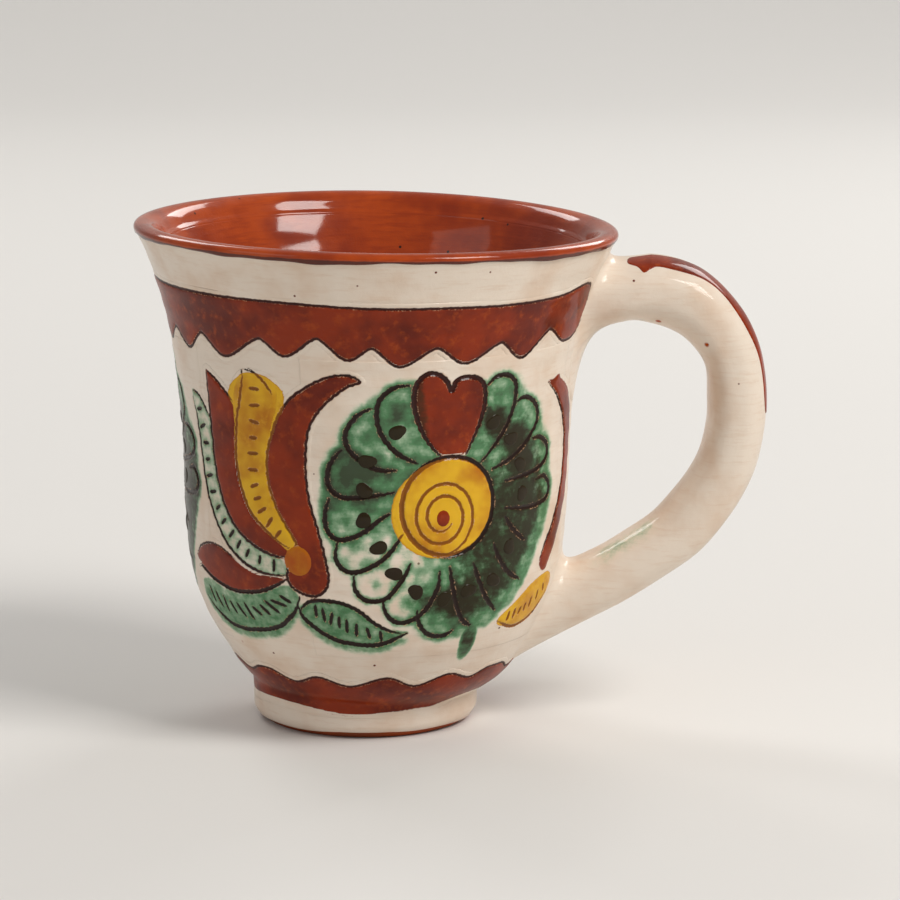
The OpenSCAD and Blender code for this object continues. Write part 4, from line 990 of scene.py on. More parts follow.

    # Cut lines: a broken pale edge on the banks, partly the bare burr and partly a painted highlight where
    # light catches it, and stained clay in the groove
    rough_cut = add(tree, MATH, {"operation": "MULTIPLY_ADD"}, {0: noise["fine"], 1: 0.34, 2: -0.17})
    cut = add(tree, MATH, {"operation": "ADD"}, {0: field["cut"], 1: rough_cut})
    pale_bank_and_highlight = add(tree, RANGE, SMOOTH, {0: cut, 1: 0.02, 2: 0.22, 3: 1, 4: 0})
    broken = add(tree, RANGE, SMOOTH, {0: noise["grain"], 1: 0.46, 2: 0.62, 3: 0, 4: 0.75})
    patchy = add(tree, RANGE, SMOOTH, {0: noise["mottle"], 1: 0.42, 2: 0.6})
    broken = add(tree, MATH, {"operation": "MULTIPLY"}, {0: broken, 1: patchy})
    pale_bank_and_highlight = add(tree, MATH, {"operation": "MULTIPLY"}, {0: pale_bank_and_highlight, 1: broken})
    base = add(tree, MIX, BLEND, {0: pale_bank_and_highlight, 6: base, 7: hues["burr"]}, out=2)
    groove = add(tree, RANGE, SMOOTH, {0: cut, 1: -0.1, 2: 0.06, 3: 1, 4: 0})
    stain = add(tree, MIX, BLEND, {0: yellow, 6: (*line, 1), 7: hues["golden"]}, out=2)
    base = add(tree, MIX, BLEND, {0: groove, 6: base, 7: stain}, out=2)
    tree.links.new(base, shader.inputs["Base Color"])

    # The glaze's own unevenness, too fine for the mesh
    height = add(tree, MATH, {"operation": "MULTIPLY_ADD"}, {0: streak, 1: 0.8, 2: noise["fine"]})
    height = add(tree, MATH, {"operation": "MULTIPLY_ADD"}, {0: noise["mottle"], 1: 1.4, 2: height})
    bump = add(tree, "ShaderNodeBump", None, {"Strength": 0.6, "Distance": 0.06 * MM, "Height": height})
    tree.links.new(bump, shader.inputs["Normal"])
    return material


def clay_material(name, light, dark, coat, rough):
    """Red earthenware: warm orange-brown with darker clouds, fine grog and dark iron specks, matt where it
    is bare and glassy under a coat of clear glaze."""
    material, tree, shader = new_material(name, roughness=rough, coat=coat)
    noise = patterns(tree, {"cloud": (14, 3), "mottle": (3, 4), "grain": (0.4, 3)})
    turned_marks = patterns(tree, {"marks": (7, 4)}, stretch=(1, 1, 9))["marks"]
    shade = add(tree, RANGE, SMOOTH, {0: noise["cloud"], 1: 0.35, 2: 0.7})
    base = add(tree, MIX, BLEND, {0: shade, 6: (*light, 1), 7: (*dark, 1)}, out=2)
    marks = add(tree, RANGE, SMOOTH, {0: turned_marks, 1: 0.45, 2: 0.7, 3: 0, 4: 0.5})
    base = add(tree, MIX, BLEND, {0: marks, 6: base, 7: (*dark, 1)}, out=2)
    iron = (*bpy.context.scene.mug_colours.cut, 1)
    base = add(tree, MIX, BLEND, {0: specks(tree, 4, 0.3, 0.45), 6: base, 7: iron}, out=2)
    brink = add(tree, "ShaderNodeAttribute", {"attribute_name": "brink"}, out="Fac")
    brink = add(tree, MATH, {"operation": "MULTIPLY_ADD"}, {0: noise["mottle"], 1: 0.8, 2: brink})
    brink = add(tree, RANGE, SMOOTH, {0: brink, 1: 0.8, 2: 1.2, 3: 0, 4: 0.85})
    base = add(tree, MIX, BLEND, {0: brink, 6: base, 7: (*bpy.context.scene.mug_colours.cut_brown, 1)}, out=2)
    tree.links.new(base, shader.inputs["Base Color"])
    height = add(tree, MATH, {"operation": "MULTIPLY_ADD"}, {0: turned_marks, 1: 1.5, 2: noise["grain"]})
    height = add(tree, MATH, {"operation": "MULTIPLY_ADD"}, {0: noise["mottle"], 1: 1.2, 2: height})
    bump = add(tree, "ShaderNodeBump", None, {"Strength": 0.6, "Distance": 0.08 * MM, "Height": height})
    tree.links.new(bump, shader.inputs["Normal"])
    return material


WHITE, BROWN = "white slip under clear glaze", "iron-brown slip under clear glaze"
YELLOW, AMBER, POOLED = "iron-yellow glaze", "thick iron-yellow glaze", "pooled copper glaze"
GLAZED_CLAY, BARE_CLAY_AND_SHADE = "red clay under clear glaze", "bare red clay"
UNCUT = {"cut": Ornament.UNCUT_D, "paint": Ornament.UNCUT_D, "green": 0, "pool": 0, "yellow": 0}


def finish_named(name):
    """The named finish, made the first time it is asked for."""
    if name in bpy.data.materials:
        return bpy.data.materials[name]
    hue = bpy.context.scene.mug_colours
    # What each gives the eye: the line colour and, for a coloured slip, where it lies thin, even and thick
    slips = {
        # A cream ground that the clay warms, with dark lines cut through it
        WHITE: (hue.cut,),
        # A deep red-brown, blotched where the brush left it thick
        BROWN: (hue.cut_brown, (hue.brown_light, hue.brown, hue.brown_dark)),
        # A clear warm yellow that turns amber where it gathers
        YELLOW: (hue.cut, (hue.yellow, hue.yellow, hue.amber)),
        # The same yellow laid over brown, so that it stays dull gold
        AMBER: (hue.golden, (hue.amber, hue.amber, hue.brown_light)),
        # Green so thick that it reads as nearly black
        POOLED: (hue.cut, (hue.green_pool, hue.green_pool, hue.cut)),
    }
    # Light and dark clay, weight of the glassy coat and roughness: glossy orange inside, matt under the foot,
    # where the bare clay is also darkened as painted shade
    clays = {
        GLAZED_CLAY: (hue.terracotta, hue.brown, 0.75, 0.4),
        BARE_CLAY_AND_SHADE: (hue.clay, hue.brown_light, 0.0, 0.8),
    }
    return clay_material(name, *clays[name]) if name in clays else slip_material(name, *slips[name])


# How deep a carved skin's back lies, and how high its ground stands over the white slip. Each rank of pieces
# stands a step higher
SHEET_DEPTH, LIFT, RANK_STEP = 0.9, 0.012, 0.006
# How far the skirt reaches past the paint, over how much of that it dives and how deep it ends. A bead's is
# short
SKIRT, BEAD_SKIRT, DIVE, SKIRT_SUNK = 1.3, 0.25, 0.6, 0.035
# How far a skin runs on under what fills a hole in it
HOLE_LAP = 1.2
# How far in from its edge the paint starts to rise, and where it has its full thickness
PAINT_FROM, PAINT_FULL = 0.25, 0.9
# The columns of a skin that closes round the mug stand this many steps apart
ROUND_STEP = 1.4


def closed_sheet(faces, count):
    """Gives a sheet of quads a back and sides. Vertex i of the front is vertex i + count of the back, and
    each edge that only one quad has becomes a side."""
    start = faces.ravel()
    end = np.roll(faces, -1, axis=1).ravel()
    lone = ~np.isin(start.astype(np.int64) * count + end, end.astype(np.int64) * count + start)
    a, b = start[lone], end[lone]
    sides = np.stack([a, a + count, b + count, b], -1)
    return np.concatenate([faces, faces[:, ::-1] + count, sides])


def carved_piece(ornament, name, region, box, finish, slot, rank, holes=(), around=False, over=None,
                 bead=False):
    """A skin over part of the wall, as a height over the grid of (s, z): the tool's relief, the paint's
    thickness inside the region, and a skirt outside it that dives under the white slip. region gives the
    signed distance to the painted area, and the skin stops inside each hole, under what fills it. over
    gives the height of a form that stands on the wall, and around closes the skin round the mug. A bead
    lies on paint and sinks into it at its own outline."""
    o, wall = ornament, ornament.wall
    low, high = np.array(box, float) + [[-SKIRT - o.step], [SKIRT + o.step]]
    across = np.arange(low[0], high[0], o.step)
    if around:
        across = np.linspace(-o.turn / 2, o.turn / 2, int(o.turn / o.step / ROUND_STEP), endpoint=False)
    s, z = np.meshgrid(across, np.arange(max(low[1], wall.base_z), high[1], o.step))
    edge, away = o.carve(s, z), region(s, z)
    green, pool, yellow = o.washes(s, z, edge)
    rise = over(s, z) if over else np.zeros(s.shape)
    coat = 0 if finish == WHITE else o.paint_t
    paint = coat * smoothstep(-away, PAINT_FROM, PAINT_FULL)
    out = o.relief(edge) + LIFT + rank * RANK_STEP + paint + rise
    skirt = BEAD_SKIRT if bead else SKIRT
    out = out - (SKIRT_SUNK + RANK_STEP * rank) * smoothstep(away, skirt - DIVE, skirt)
    keep = away < SKIRT
    for hole in holes:
        keep &= region_distance(s, z, hole) > -HOLE_LAP
    faces = grid_faces(*s.shape, wrap_columns=around)
    faces = faces[keep.ravel()[faces].all(1)]
    used, faces = np.unique(faces, return_inverse=True)
    faces = faces.reshape(-1, 4)
    front = wall.point(s, z, out).reshape(-1, 3)[used]
    back = wall.point(s, z, -SHEET_DEPTH).reshape(-1, 3)[used]
    fields = {"cut": edge, "paint": away, "green": green, "pool": pool, "yellow": yellow}
    values = {key: np.tile(value.ravel()[used], 2) for key, value in fields.items()}
    return new_piece(name + "_coat", np.vstack([front, back]), closed_sheet(faces, len(used)),
                     finish_named(finish), [name], values)


def painted_piece(ornament, name, finish, slot, rank, **more):
    """A carved piece over one of the ornament's outlines."""
    outline = ornament.outlines[name]
    return carved_piece(ornament, name, lambda s, z: region_distance(s, z, outline, 3),
                        (outline.min(0), outline.max(0)), finish, slot, rank, **more)


def welded(piece):
    """Merges the points that meet at a pole or a seam."""
    work = bmesh.new()
    work.from_mesh(piece.data)
    bmesh.ops.remove_doubles(work, verts=work.verts, dist=1e-6)
    work.to_mesh(piece.data)
    work.free()
    return piece


def the_wall():
    """The wall that the sizes in the sidebar give."""
    return Wall(bpy.context.scene.mug_shape)


def the_ornament():
    """The ornament on that wall."""
    return Ornament(the_wall(), bpy.context.scene.mug_carving)


class MUG_OT_clay(Operator):
    """The red clay: the turned bowl with its foot, and the clay of the handle"""
    bl_idname = "mug.clay"
    bl_label = "Clay body"
    COLUMNS = 144
    # The foot's ring, the hollow turned inside it, and how high the foot's side is left bare
    RING_W, HOLLOW, BARE_Z = 6, 2.6, 1.4
    # How far the clay's face is drawn in under the coats that cover it, on the bowl and on the handle
    BOWL_IN, HANDLE_IN = 0.5, 0.1

    def execute(self, context):
        """The bowl is one profile: out under the foot, up the outside, over the top and down the inside to
        the floor. It is turned about the mug's axis, and its lowest part about the foot's own."""
        wall = the_wall()
        foot_r, ring_w, hollow, bare_z = wall.foot_d / 2, self.RING_W, self.HOLLOW, self.BARE_Z
        under = [(0, hollow), (6, hollow + 0.12), (10, hollow - 0.1), (foot_r - ring_w - 1, hollow - 0.2),
                 (foot_r - ring_w, 0.4), (foot_r - ring_w + 0.5, 0), (foot_r - 2.6, 0)]
        edge = [(foot_side(wall, z) - 0.04, z) for z in (0.15, 0.45, 0.9, bare_z)]
        neck = [(foot_r - 0.8, bare_z + 0.3), (foot_r - 1.6, 3), (foot_r - 3.4, 5.5)]
        up = np.linspace(7.5, wall.arc_z, 50)
        outside = np.stack([wall.radius(up) - wall.slip_t - self.BOWL_IN, up], -1)
        down = up[::-1]
        inside_r = wall.radius(down) - wall.slip_t - wall.clay_thickness(down)
        middle = wall.rim_d / 2 - wall.lip_t / 2
        top = [(middle + 1.2, wall.arc_z + 1), (middle, wall.arc_z + 1.4), (middle - 1.2, wall.arc_z + 1)]
        profile = np.vstack([under, edge, neck, outside, top, np.stack([inside_r, down], -1),
                             [(10, wall.floor_z - 0.2), (0, wall.floor_z - 0.2)]])
        on_foot = len(under) + len(edge) + len(neck)
        centre = np.where(np.arange(len(profile)) < on_foot, -wall.foot_shift, 0.0)
        points = turned(wall, profile, self.COLUMNS, centre=centre)
        faces = grid_faces(len(profile), self.COLUMNS, wrap_columns=True)
        welded(new_piece("clay_body_piece", points, faces, finish_named(BARE_CLAY_AND_SHADE), ["clay_body"]))
        rings = Handle(wall).skin(-self.HANDLE_IN)
        faces = grid_faces(*rings.shape[:2], wrap_columns=True)[:, ::-1]
        welded(new_piece("handle_clay", rings.reshape(-1, 3), faces, finish_named(BARE_CLAY_AND_SHADE), ["handle"]))
        return {"FINISHED"}


def foot_side(wall, z):
    """Radius of the foot's outside: upright, and rounding in towards the table by a 2.2 power."""
    return wall.foot_d / 2 - 2.4 * np.clip(1 - np.asarray(z) / 3, 0, 1) ** 2.2


class MUG_OT_white_slip(Operator):
    """The white slip over the outside of the bowl and the side of the foot"""
    bl_idname = "mug.white_slip"
    bl_label = "White slip"
    COLUMNS, ROWS, BACK_ROWS, FOOT_COLUMNS = 440, 186, 10, 180
    # How deep the slip sinks under the carved pieces, and where it ends above the bare foot
    SUNK, FOOT_Z = 0.5, 1.2

    def execute(self, context):
        """The bowl's slip sinks under every carved piece, which stands in its place there."""
        ornament = the_ornament()
        wall = ornament.wall
        around = np.linspace(-ornament.turn / 2, ornament.turn / 2, self.COLUMNS, endpoint=False)
        s, z = np.meshgrid(around, np.linspace(wall.base_z, wall.slip_top, self.ROWS))
        away = np.maximum(z - ornament.low_top(s), ornament.low_bottom(s) - z)
        for outline in ornament.outlines.values():
            near = wrapped(s, outline[:, 0].mean(), ornament.turn)
            away = np.minimum(away, region_distance(near, z, outline, 2))
        sunk = self.SUNK * smoothstep(-away, -0.95, -0.1)
        edge = np.full(s.shape, ornament.UNCUT_D)
        green, pool, yellow = ornament.washes(s, z, edge)
        front = wall.point(s, z, -sunk)
        back_z = np.linspace(z[-1, 0], z[0, 0], self.BACK_ROWS)
        back = wall.point(*np.meshgrid(s[0], back_z), -SHEET_DEPTH)
        points = np.concatenate([front, back])
        faces = grid_faces(*points.shape[:2], wrap_rows=True, wrap_columns=True)
        fields = {"cut": edge, "paint": edge, "green": green, "pool": pool, "yellow": yellow}
        values = {key: np.concatenate([value.ravel(), np.full(back[..., 0].size, UNCUT[key])])
                  for key, value in fields.items()}
        new_piece("body_slip_coat", points.reshape(-1, 3), faces, finish_named(WHITE), ["body_slip"],
                  values)
        self.foot(wall)
        return {"FINISHED"}

    def foot(self, wall):
        """The slip on the foot's side, turned about the foot's own axis, with an uneven lower edge."""
        low, high = self.FOOT_Z, wall.foot_h
        up = np.linspace(low, high - 0.6, 40)
        side = np.stack([foot_side(wall, up), up], -1)
        neck = [(wall.foot_d / 2 - 0.25, high - 0.2), (wall.foot_d / 2 - 0.9, high)]
        inner = [(wall.foot_d / 2 - 1, high - 0.8), (wall.foot_d / 2 - 1, low + 1),
                 (foot_side(wall, low) - 0.5, low)]
        profile = np.vstack([side, neck, inner])
        centre = np.full(len(profile), -wall.foot_shift)
        points = turned(wall, profile, self.FOOT_COLUMNS, tilt=False, centre=centre)
        angle = np.arctan2(points[:, 1], points[:, 0])
        lower_edge = points[:, 2] < low + 0.01
        points[:, 2] += lower_edge * (0.16 * np.sin(3 * angle) + 0.1 * np.sin(7 * angle + 1))
        faces = grid_faces(len(profile), self.FOOT_COLUMNS, wrap_rows=True, wrap_columns=True)
        new_piece("foot_slip_coat", points, faces, finish_named(WHITE), ["foot_slip"], UNCUT)


class MUG_OT_handle(Operator):
    """The handle's white slip with its fillets, and the brown stripe along its spine"""
    bl_idname = "mug.handle"
    bl_label = "Handle"
    # Where the stripe starts and ends, its half width and how far to the front of the spine it lies
    START_X, END_Z = 46.5, 58.5
    HALF_W, SHIFT = 3.5, -2.4
    ROWS, COLUMNS = 240, 34
    # Rings of the skin that the stripe lies between, past the plug, and how far apart two skins are laid to
    # find the way out of the slip
    SPINE, PROBE = (2, 150), 0.2
    # How high the stripe stands, and how deep its back lies
    PROUD, BACK = 0.13, -0.35

    def execute(self, context):
        """The slip is the handle's whole skin, grown outwards by the slip's thickness."""
        wall = the_wall()
        handle = Handle(wall)
        rings = handle.skin(wall.slip_t)
        faces = grid_faces(*rings.shape[:2], wrap_columns=True)[:, ::-1]
        smear = self.smear(rings.reshape(-1, 3))
        welded(new_piece("handle_slip_coat", rings.reshape(-1, 3), faces, finish_named(WHITE),
                         ["handle_slip"], UNCUT | {"green": smear}))
        self.stripe(wall, handle, rings)
        return {"FINISHED"}

    def stripe(self, wall, handle, rings):
        """The stripe is a grid along and across the spine. Its ends are blunt, a drip hangs near its start,
        and its edges dive into the slip."""
        raised = handle.skin(wall.slip_t + self.PROBE)
        first_ring, last_ring = self.SPINE
        spine = rings[first_ring:last_ring, 0]
        along = np.append(0, np.cumsum(np.linalg.norm(np.diff(spine, axis=0), axis=1)))
        first = along[np.argmax(spine[:, 0] > self.START_X)]
        last = along[np.argmax((spine[:, 0] > self.START_X) & (spine[:, 2] < self.END_Z))]
        u = np.linspace(0, 1, self.ROWS)[:, None]
        v = np.linspace(-1, 1, self.COLUMNS)[None]
        row = first_ring + np.interp(first + (last - first) * u, along, np.arange(len(spine)))
        blunt = np.sqrt(np.clip(1 - abs(2 * u - 1) ** 16, 0, 1)) * (1 - 0.3 * smoothstep(u, 0.55, 1))
        drip = 1.9 * np.exp(-((u - 0.085) / 0.03) ** 2) * (v < 0)
        half = self.HALF_W * blunt * (1 + 0.08 * np.sin(17 * u + 2 * v)) + drip
        y = self.SHIFT + half * v
        b = np.interp(row, np.arange(len(rings)), abs(rings[..., 1]).max(1))
        angle = np.arcsin(np.sign(y) * np.clip(abs(y / b), 0, 1) ** (handle.SECTION_POWER / 2))
        row = np.broadcast_to(row, angle.shape)
        rise = self.PROUD - 0.2 * smoothstep(abs(v), 0.88, 1) - 0.2 * smoothstep(abs(2 * u - 1), 0.985, 1)
        on, above = handle.on_skin(rings, row, angle), handle.on_skin(raised, row, angle)
        front, back = (on + (above - on) * (step / self.PROBE) for step in (rise[..., None], self.BACK))
        points = np.concatenate([front.reshape(-1, 3), back.reshape(-1, 3)])
        faces = closed_sheet(grid_faces(self.ROWS, self.COLUMNS)[:, ::-1], front[..., 0].size)
        away = np.tile((-(1 - abs(v)) * half + 0 * u).ravel(), 2)
        new_piece("handle_stripe_paint", points, faces, finish_named(BROWN), ["handle_stripe"],
                  UNCUT | {"paint": away - 0.15})

    def smear(self, points):
        """A streak of green along the inside of the lower handle."""
        x, y, z = points.T
        along = smoothstep(x, 39, 43) * (1 - smoothstep(x, 50, 55))
        middle = 31.5 + 0.62 * (x - 42)
        return 0.2 * along * np.exp(-((z - middle) / 2) ** 2) * smoothstep(-y, -2, 5)


class MUG_OT_clear_glaze(Operator):
    """The clear glaze over the red clay inside, with its throwing rings, and over the lip"""
    bl_idname = "mug.clear_glaze"
    bl_label = "Lining and lip"
    COLUMNS, WALL_ROWS, BACK_ROWS = 200, 130, 30
    # How high the lining goes under the lip, radius of the curve from wall to floor and depth of the rings
    SEAM_Z, ROUND_R, RING_DEPTH = 91.2, 2.5, 0.1
    # How deep in the clay the lining's back lies, at the wall and at the floor
    BEHIND, BELOW = 0.5, 1
    # The lip's section on a 90 mm rim: from its lower edge outside, over the top, to where it meets the
    # lining, and back through the clay
    LIP = ((44.85, 92.85), (45.02, 93.2), (45.1, 93.65), (45, 94.1), (44.65, 94.47), (44.1, 94.7),
           (43.3, 94.8), (42.4, 94.68), (41.6, 94.35), (40.9, 93.8), (40.4, 93.1), (39.95, 92.2),
           (39.4, 91.2), (38.9, 90.4))
    LIP_UNDER = ((40.2, 90.6), (41.4, 92.2), (42.6, 93), (43.8, 92.6))
    LIP_R = 45

    def execute(self, context):
        wall = the_wall()
        self.lining(wall)
        self.lip(wall)
        return {"FINISHED"}

    def lining(self, wall):
        """A profile from the lip down the wall, round a quarter circle on to the floor, and back up behind,
        turned about the axis."""
        floor = wall.floor_z + wall.glaze_t
        down = np.linspace(self.SEAM_Z, floor + self.ROUND_R, self.WALL_ROWS)
        skin = wall.radius(down) - wall.slip_t - wall.clay_thickness(down) - wall.glaze_t
        fade = smoothstep(wall.arc_z - down, 3, 12)
        rings = self.RING_DEPTH * np.sin(2 * np.pi * down / 6.5 + 0.6 * np.sin(down / 5)) * fade
        inside = np.stack([skin + rings - self.RING_DEPTH * fade, down], -1)
        corner = inside[-1, 0]
        turn = np.linspace(0, np.pi / 2, 9)[1:]
        corner_round = np.stack([corner - self.ROUND_R * (1 - np.cos(turn)),
                                 floor + self.ROUND_R * (1 - np.sin(turn))], -1)
        flat_r = np.linspace(corner - self.ROUND_R, 0, 26)[1:]
        flat_z = floor + 0.12 * np.sin(2 * np.pi * flat_r / 4.6) * smoothstep(flat_r, 0, 4)
        up = np.linspace(floor, self.SEAM_Z, self.BACK_ROWS)
        behind = wall.radius(up) - wall.slip_t - wall.clay_thickness(up) + self.BEHIND
        profile = np.vstack([[(0, floor - self.BELOW), (corner * 0.6, floor - self.BELOW)],
                             np.stack([behind, up], -1), inside, corner_round,
                             np.stack([flat_r, flat_z], -1)])
        points = turned(wall, profile, self.COLUMNS)
        faces = grid_faces(len(profile), self.COLUMNS, wrap_columns=True)
        welded(new_piece("lining_glaze_skin", points, faces, finish_named(GLAZED_CLAY), ["lining_glaze"]))

    def lip(self, wall):
        """The lip's section turned about the axis, with a ragged lower edge, darkest where it ends."""
        over = curve(self.LIP, per_span=3)
        over[:, 0] += wall.rim_d / 2 - self.LIP_R
        over[0, 0] = wall.radius(over[0, 1]) + 0.03
        over[-4:, 0] = wall.radius(over[-4:, 1]) - wall.lip_t + (-0.04, -0.02, 0.04, 0.12)
        profile = np.vstack([over, self.LIP_UNDER])
        columns = 2 * self.COLUMNS
        points = turned(wall, profile, columns).reshape(len(profile), columns, 3)
        angle = np.linspace(0, 2 * np.pi, columns, endpoint=False)
        ragged = 0.2 * np.sin(5 * angle) + 0.14 * np.sin(13 * angle + 1) + 0.07 * np.sin(31 * angle)
        points[:3, :, 2] += ragged * np.array([[1], [0.8], [0.4]])
        points[..., 2] -= 0.06 * (1 + np.sin(3 * angle + 2)) * smoothstep(profile[:, 1:], 92, 94)
        faces = grid_faces(len(profile), columns, wrap_rows=True, wrap_columns=True)
        brink = (1 - smoothstep(profile[:, 1], 93.1, 93.9)) * (profile[:, 0] > 43.5)
        new_piece("lip_glaze_roll", points.reshape(-1, 3), faces, finish_named(GLAZED_CLAY), ["lip_glaze"],
                  {"brink": brink.repeat(columns)})


class MUG_OT_bands(Operator):
    """The brown band with its scalloped edge under the lip, and the waved one above the foot"""
    bl_idname = "mug.bands"
    bl_label = "Brown bands"

    def execute(self, context):
        ornament = the_ornament()
        painted_piece(ornament, "upper_band", BROWN, "brown_slip", 0)
        carved_piece(ornament, "lower_band",
                     lambda s, z: np.maximum(z - ornament.low_top(s), ornament.low_bottom(s) - z),
                     ((0, ornament.wall.base_z), (0, 14)), BROWN, "brown_slip", 0, around=True,
                     over=ornament.wall.foot_rise)
        return {"FINISHED"}


class MUG_OT_flowers(Operator):
    """The two flowers: green petals, their dark dots, a brown heart and a yellow eye with its brown dot"""
    bl_idname = "mug.flowers"
    bl_label = "Flowers"
    # A dot's radius, height over its edge, height of its edge and depth of its back
    DOT_R, DOT_H, DOT_LIFT, DOT_BACK = 1.6, 0.14, 0.05, -0.4
    # How far the green runs past the petals' edge
    HALO = 2.2

    def execute(self, context):
        ornament = the_ornament()
        for (side, place), flower in zip(FLOWER_AT.items(), ornament.flowers):
            _, rim, eye, heart, dots = flower
            carved_piece(ornament, side + "_petals", lambda s, z: region_distance(s, z, rim, 3) - self.HALO,
                         (rim.min(0) - self.HALO, rim.max(0) + self.HALO), WHITE, "green_glaze", 1,
                         holes=(eye, heart))
            painted_piece(ornament, side + "_heart", BROWN, "brown_slip", 2)
            painted_piece(ornament, side + "_eye", YELLOW, "yellow_glaze", 3)
            painted_piece(ornament, side + "_eye_dot", BROWN, "brown_slip", 27, bead=True)
            self.dots(ornament, side + "_petal_dots", dots)
        return {"FINISHED"}

    def dots(self, ornament, name, dots):
        """Low domes of pooled glaze: each a disc whose height falls with the square of its radius, a little
        out of round."""
        rows, columns = 8, 22
        share = np.linspace(0, 1, rows)[None, :, None]
        angle = np.linspace(0, 2 * np.pi, columns, endpoint=False)[None, None]
        which = np.arange(len(dots))[:, None, None]
        uneven = 1 + 0.12 * np.sin(2 * angle + 1.7 * which) + 0.06 * np.sin(3 * angle + which)
        r = self.DOT_R * share * uneven
        s = dots[:, 0, None, None] + 1.1 * r * np.cos(angle)
        z = dots[:, 1, None, None] + 0.95 * r * np.sin(angle)
        out = self.DOT_LIFT + self.DOT_H * (1 - share ** 2) - 0.2 * smoothstep(share, 0.85, 1) + 0 * s
        front, back = ornament.wall.point(s, z, out), ornament.wall.point(s, z, self.DOT_BACK)
        one = grid_faces(rows, columns, wrap_columns=True)[:, ::-1]
        faces = np.concatenate([one + k * rows * columns for k in range(len(dots))])
        points = np.concatenate([front.reshape(-1, 3), back.reshape(-1, 3)])
        paint = np.tile(((share - 1) * self.DOT_R + 0 * s).ravel(), 2)
        welded(new_piece(name + "_glaze", points, closed_sheet(faces, front[..., 0].size),
                         finish_named(POOLED), [name],
                         UNCUT | {"paint": paint, "green": 0.6, "pool": 0.7}))


class MUG_OT_tulips(Operator):
    """The two tulips: brown petals, a yellow leaf between them, green and brown leaves and a ball"""
    bl_idname = "mug.tulips"
    bl_label = "Tulips"
    # Each part's finish, its slot and its rank over the parts that it touches
    PARTS = (("base_leaf", BROWN, "brown_slip", 1), ("side_leaf", WHITE, "green_glaze", 2),
             ("tulip_outer", BROWN, "brown_slip", 3), ("tulip_leaf", YELLOW, "yellow_glaze", 4),
             ("tulip_inner", BROWN, "brown_slip", 5), ("ball", AMBER, "yellow_glaze", 29),
             ("low_leaf", WHITE, "green_glaze", 2), ("mid_leaf", WHITE, "green_glaze", 3))

    def execute(self, context):
        ornament = the_ornament()
        for side in TULIP_AT:
            for name, finish, slot, rank in self.PARTS:
                painted_piece(ornament, f"{side}_{name}", finish, slot, rank, bead=name == "ball")
        return {"FINISHED"}


class MUG_OT_sprays(Operator):
    """The brown crescent and the small yellow leaf on each side of the handle"""
    bl_idname = "mug.sprays"
    bl_label = "Sprays"

    def execute(self, context):
        ornament = the_ornament()
        for side in SPRAY_AT:
            painted_piece(ornament, side + "_crescent", BROWN, "brown_slip", 2)
            painted_piece(ornament, side + "_small_leaf", YELLOW, "yellow_glaze", 3)
        return {"FINISHED"}


class MugStage(PropertyGroup):
    """Sizes and brightness of the stage"""
    distance: FloatProperty(name="Distance", description="From the camera to the middle of the mug",
                            default=0.9, unit="LENGTH", subtype="DISTANCE")
    elevation: FloatProperty(name="Elevation", description="Angle of the camera above the table",
                             default=np.radians(11.6), unit="ROTATION", subtype="ANGLE")
    world: FloatProperty(name="Room light", description="Strength of the even light of the room",
                         default=0.33, min=0)
    floor: colour("Floor", "Pale floor and backdrop", "#E2E0DD")


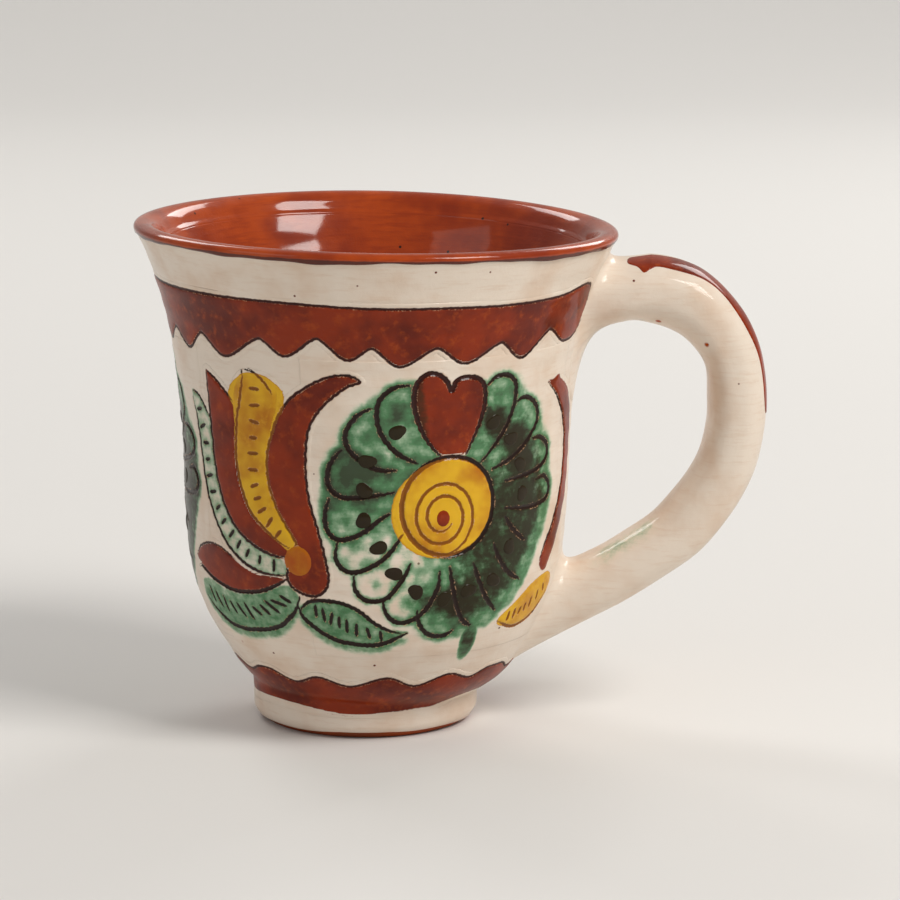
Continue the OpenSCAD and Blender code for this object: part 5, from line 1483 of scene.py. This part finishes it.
class MUG_OT_stage(Operator):
    """A pale floor that curves up into a backdrop, soft lamps and the camera"""
    bl_idname = "mug.stage"
    bl_label = "Stage"
    # The middle of the mug, in metres, and the lens in millimetres with its small shift
    MIDDLE = (0, 0, 0.047)
    LENS, SENSOR, SHIFT = 191.5, 36, (0.0822, 0.0222)
    # The floor in metres: its near edge, where it starts to bend, the bend's radius, the backdrop's top
    NEAR_Y, BEND_Y, BEND_R, TOP_Z, HALF_WIDE = -2.5, 0.9, 0.5, 2.5, 3
    # Place, side in metres, power in watts and warmth of each soft lamp
    LAMPS = {"key": ((0.6, -0.45, 0.8), 0.42, 7.4, (1, 0.97, 0.93)),
             "fill": ((-0.9, -0.6, 0.5), 0.7, 1.3, (1, 0.97, 0.94)),
             "back_right": ((0.5, 0.8, 0.6), 0.4, 3.2, (1, 0.99, 0.97)),
             "back_left": ((-0.45, 0.8, 0.75), 0.4, 2.8, (1, 0.99, 0.97))}

    def execute(self, context):
        stage, scene = context.scene.mug_stage, context.scene
        for name, (place, side, power, warmth) in self.LAMPS.items():
            data = bpy.data.lights.new(name, "AREA")
            data.shape, data.size, data.energy, data.color = "SQUARE", side, power, warmth
            lamp = bpy.data.objects.new(name, data)
            lamp.location = place
            lamp.rotation_euler = (Vector(self.MIDDLE) - lamp.location).to_track_quat("-Z", "Y").to_euler()
            scene.collection.objects.link(lamp)
        world = bpy.data.worlds.new("room")
        world.use_nodes = True
        world.node_tree.nodes["Background"].inputs["Color"].default_value = (1, 0.985, 0.97, 1)
        world.node_tree.nodes["Background"].inputs["Strength"].default_value = stage.world
        scene.world = world
        turn = np.linspace(0, np.pi / 2, 24)
        bend_y, bend_z = self.BEND_Y + self.BEND_R * np.sin(turn), self.BEND_R * (1 - np.cos(turn))
        line = np.vstack([[(self.NEAR_Y, 0)], np.stack([bend_y, bend_z], -1),
                          [(self.BEND_Y + self.BEND_R, self.TOP_Z)]])
        x = np.array([-self.HALF_WIDE, self.HALF_WIDE])
        points = np.stack(np.broadcast_arrays(x[None], line[:, :1], line[:, 1:]), -1).reshape(-1, 3)
        mesh = bpy.data.meshes.new("floor")
        mesh.from_pydata(points.tolist(), [], grid_faces(len(line), 2).tolist())
        mesh.polygons.foreach_set("use_smooth", np.ones(len(mesh.polygons), bool))
        material, tree, shader = new_material("matt painted board", roughness=0.8)
        shader.inputs["Base Color"].default_value = (*stage.floor, 1)
        mesh.materials.append(material)
        floor = bpy.data.objects.new("floor", mesh)
        scene.collection.objects.link(floor)
        camera = bpy.data.objects.new("camera", bpy.data.cameras.new("camera"))
        camera.data.sensor_width, camera.data.lens = self.SENSOR, self.LENS
        camera.data.shift_x, camera.data.shift_y = self.SHIFT
        back = Vector((0, -np.cos(stage.elevation), np.sin(stage.elevation)))
        camera.location = Vector(self.MIDDLE) + stage.distance * back
        camera.rotation_euler = (-back).to_track_quat("-Z", "Y").to_euler()
        scene.collection.objects.link(camera)
        scene.camera = camera
        scene.view_settings.view_transform = "Standard"
        return {"FINISHED"}


STEPS = (MUG_OT_stage, MUG_OT_clay, MUG_OT_white_slip, MUG_OT_handle, MUG_OT_clear_glaze, MUG_OT_bands,
         MUG_OT_flowers, MUG_OT_tulips, MUG_OT_sprays)
GROUPS = {"mug_shape": MugShape, "mug_carving": MugCarving, "mug_colours": MugColours, "mug_stage": MugStage}


class MUG_PT_panel(Panel):
    """Lists the mug's sizes and colours, and a button for each group of pieces"""
    bl_idname = "MUG_PT_panel"
    bl_label = "Clay mug"
    bl_space_type = "VIEW_3D"
    bl_region_type = "UI"
    bl_category = "Mug"

    def draw(self, context):
        for name, group in GROUPS.items():
            box = self.layout.box()
            for key in group.__annotations__:
                box.prop(getattr(context.scene, name), key)
        for step in STEPS:
            self.layout.operator(step.bl_idname)


def register():
    for kind in (*GROUPS.values(), *STEPS, MUG_PT_panel):
        bpy.utils.register_class(kind)
    for name, group in GROUPS.items():
        setattr(bpy.types.Scene, name, PointerProperty(type=group))


def unregister():
    for name in GROUPS:
        delattr(bpy.types.Scene, name)
    for kind in (MUG_PT_panel, *STEPS[::-1], *list(GROUPS.values())[::-1]):
        bpy.utils.unregister_class(kind)


def main():
    register()
    for step in STEPS:
        group, action = step.bl_idname.split(".")
        getattr(getattr(bpy.ops, group), action)()


if __name__ == "__main__":
    main()
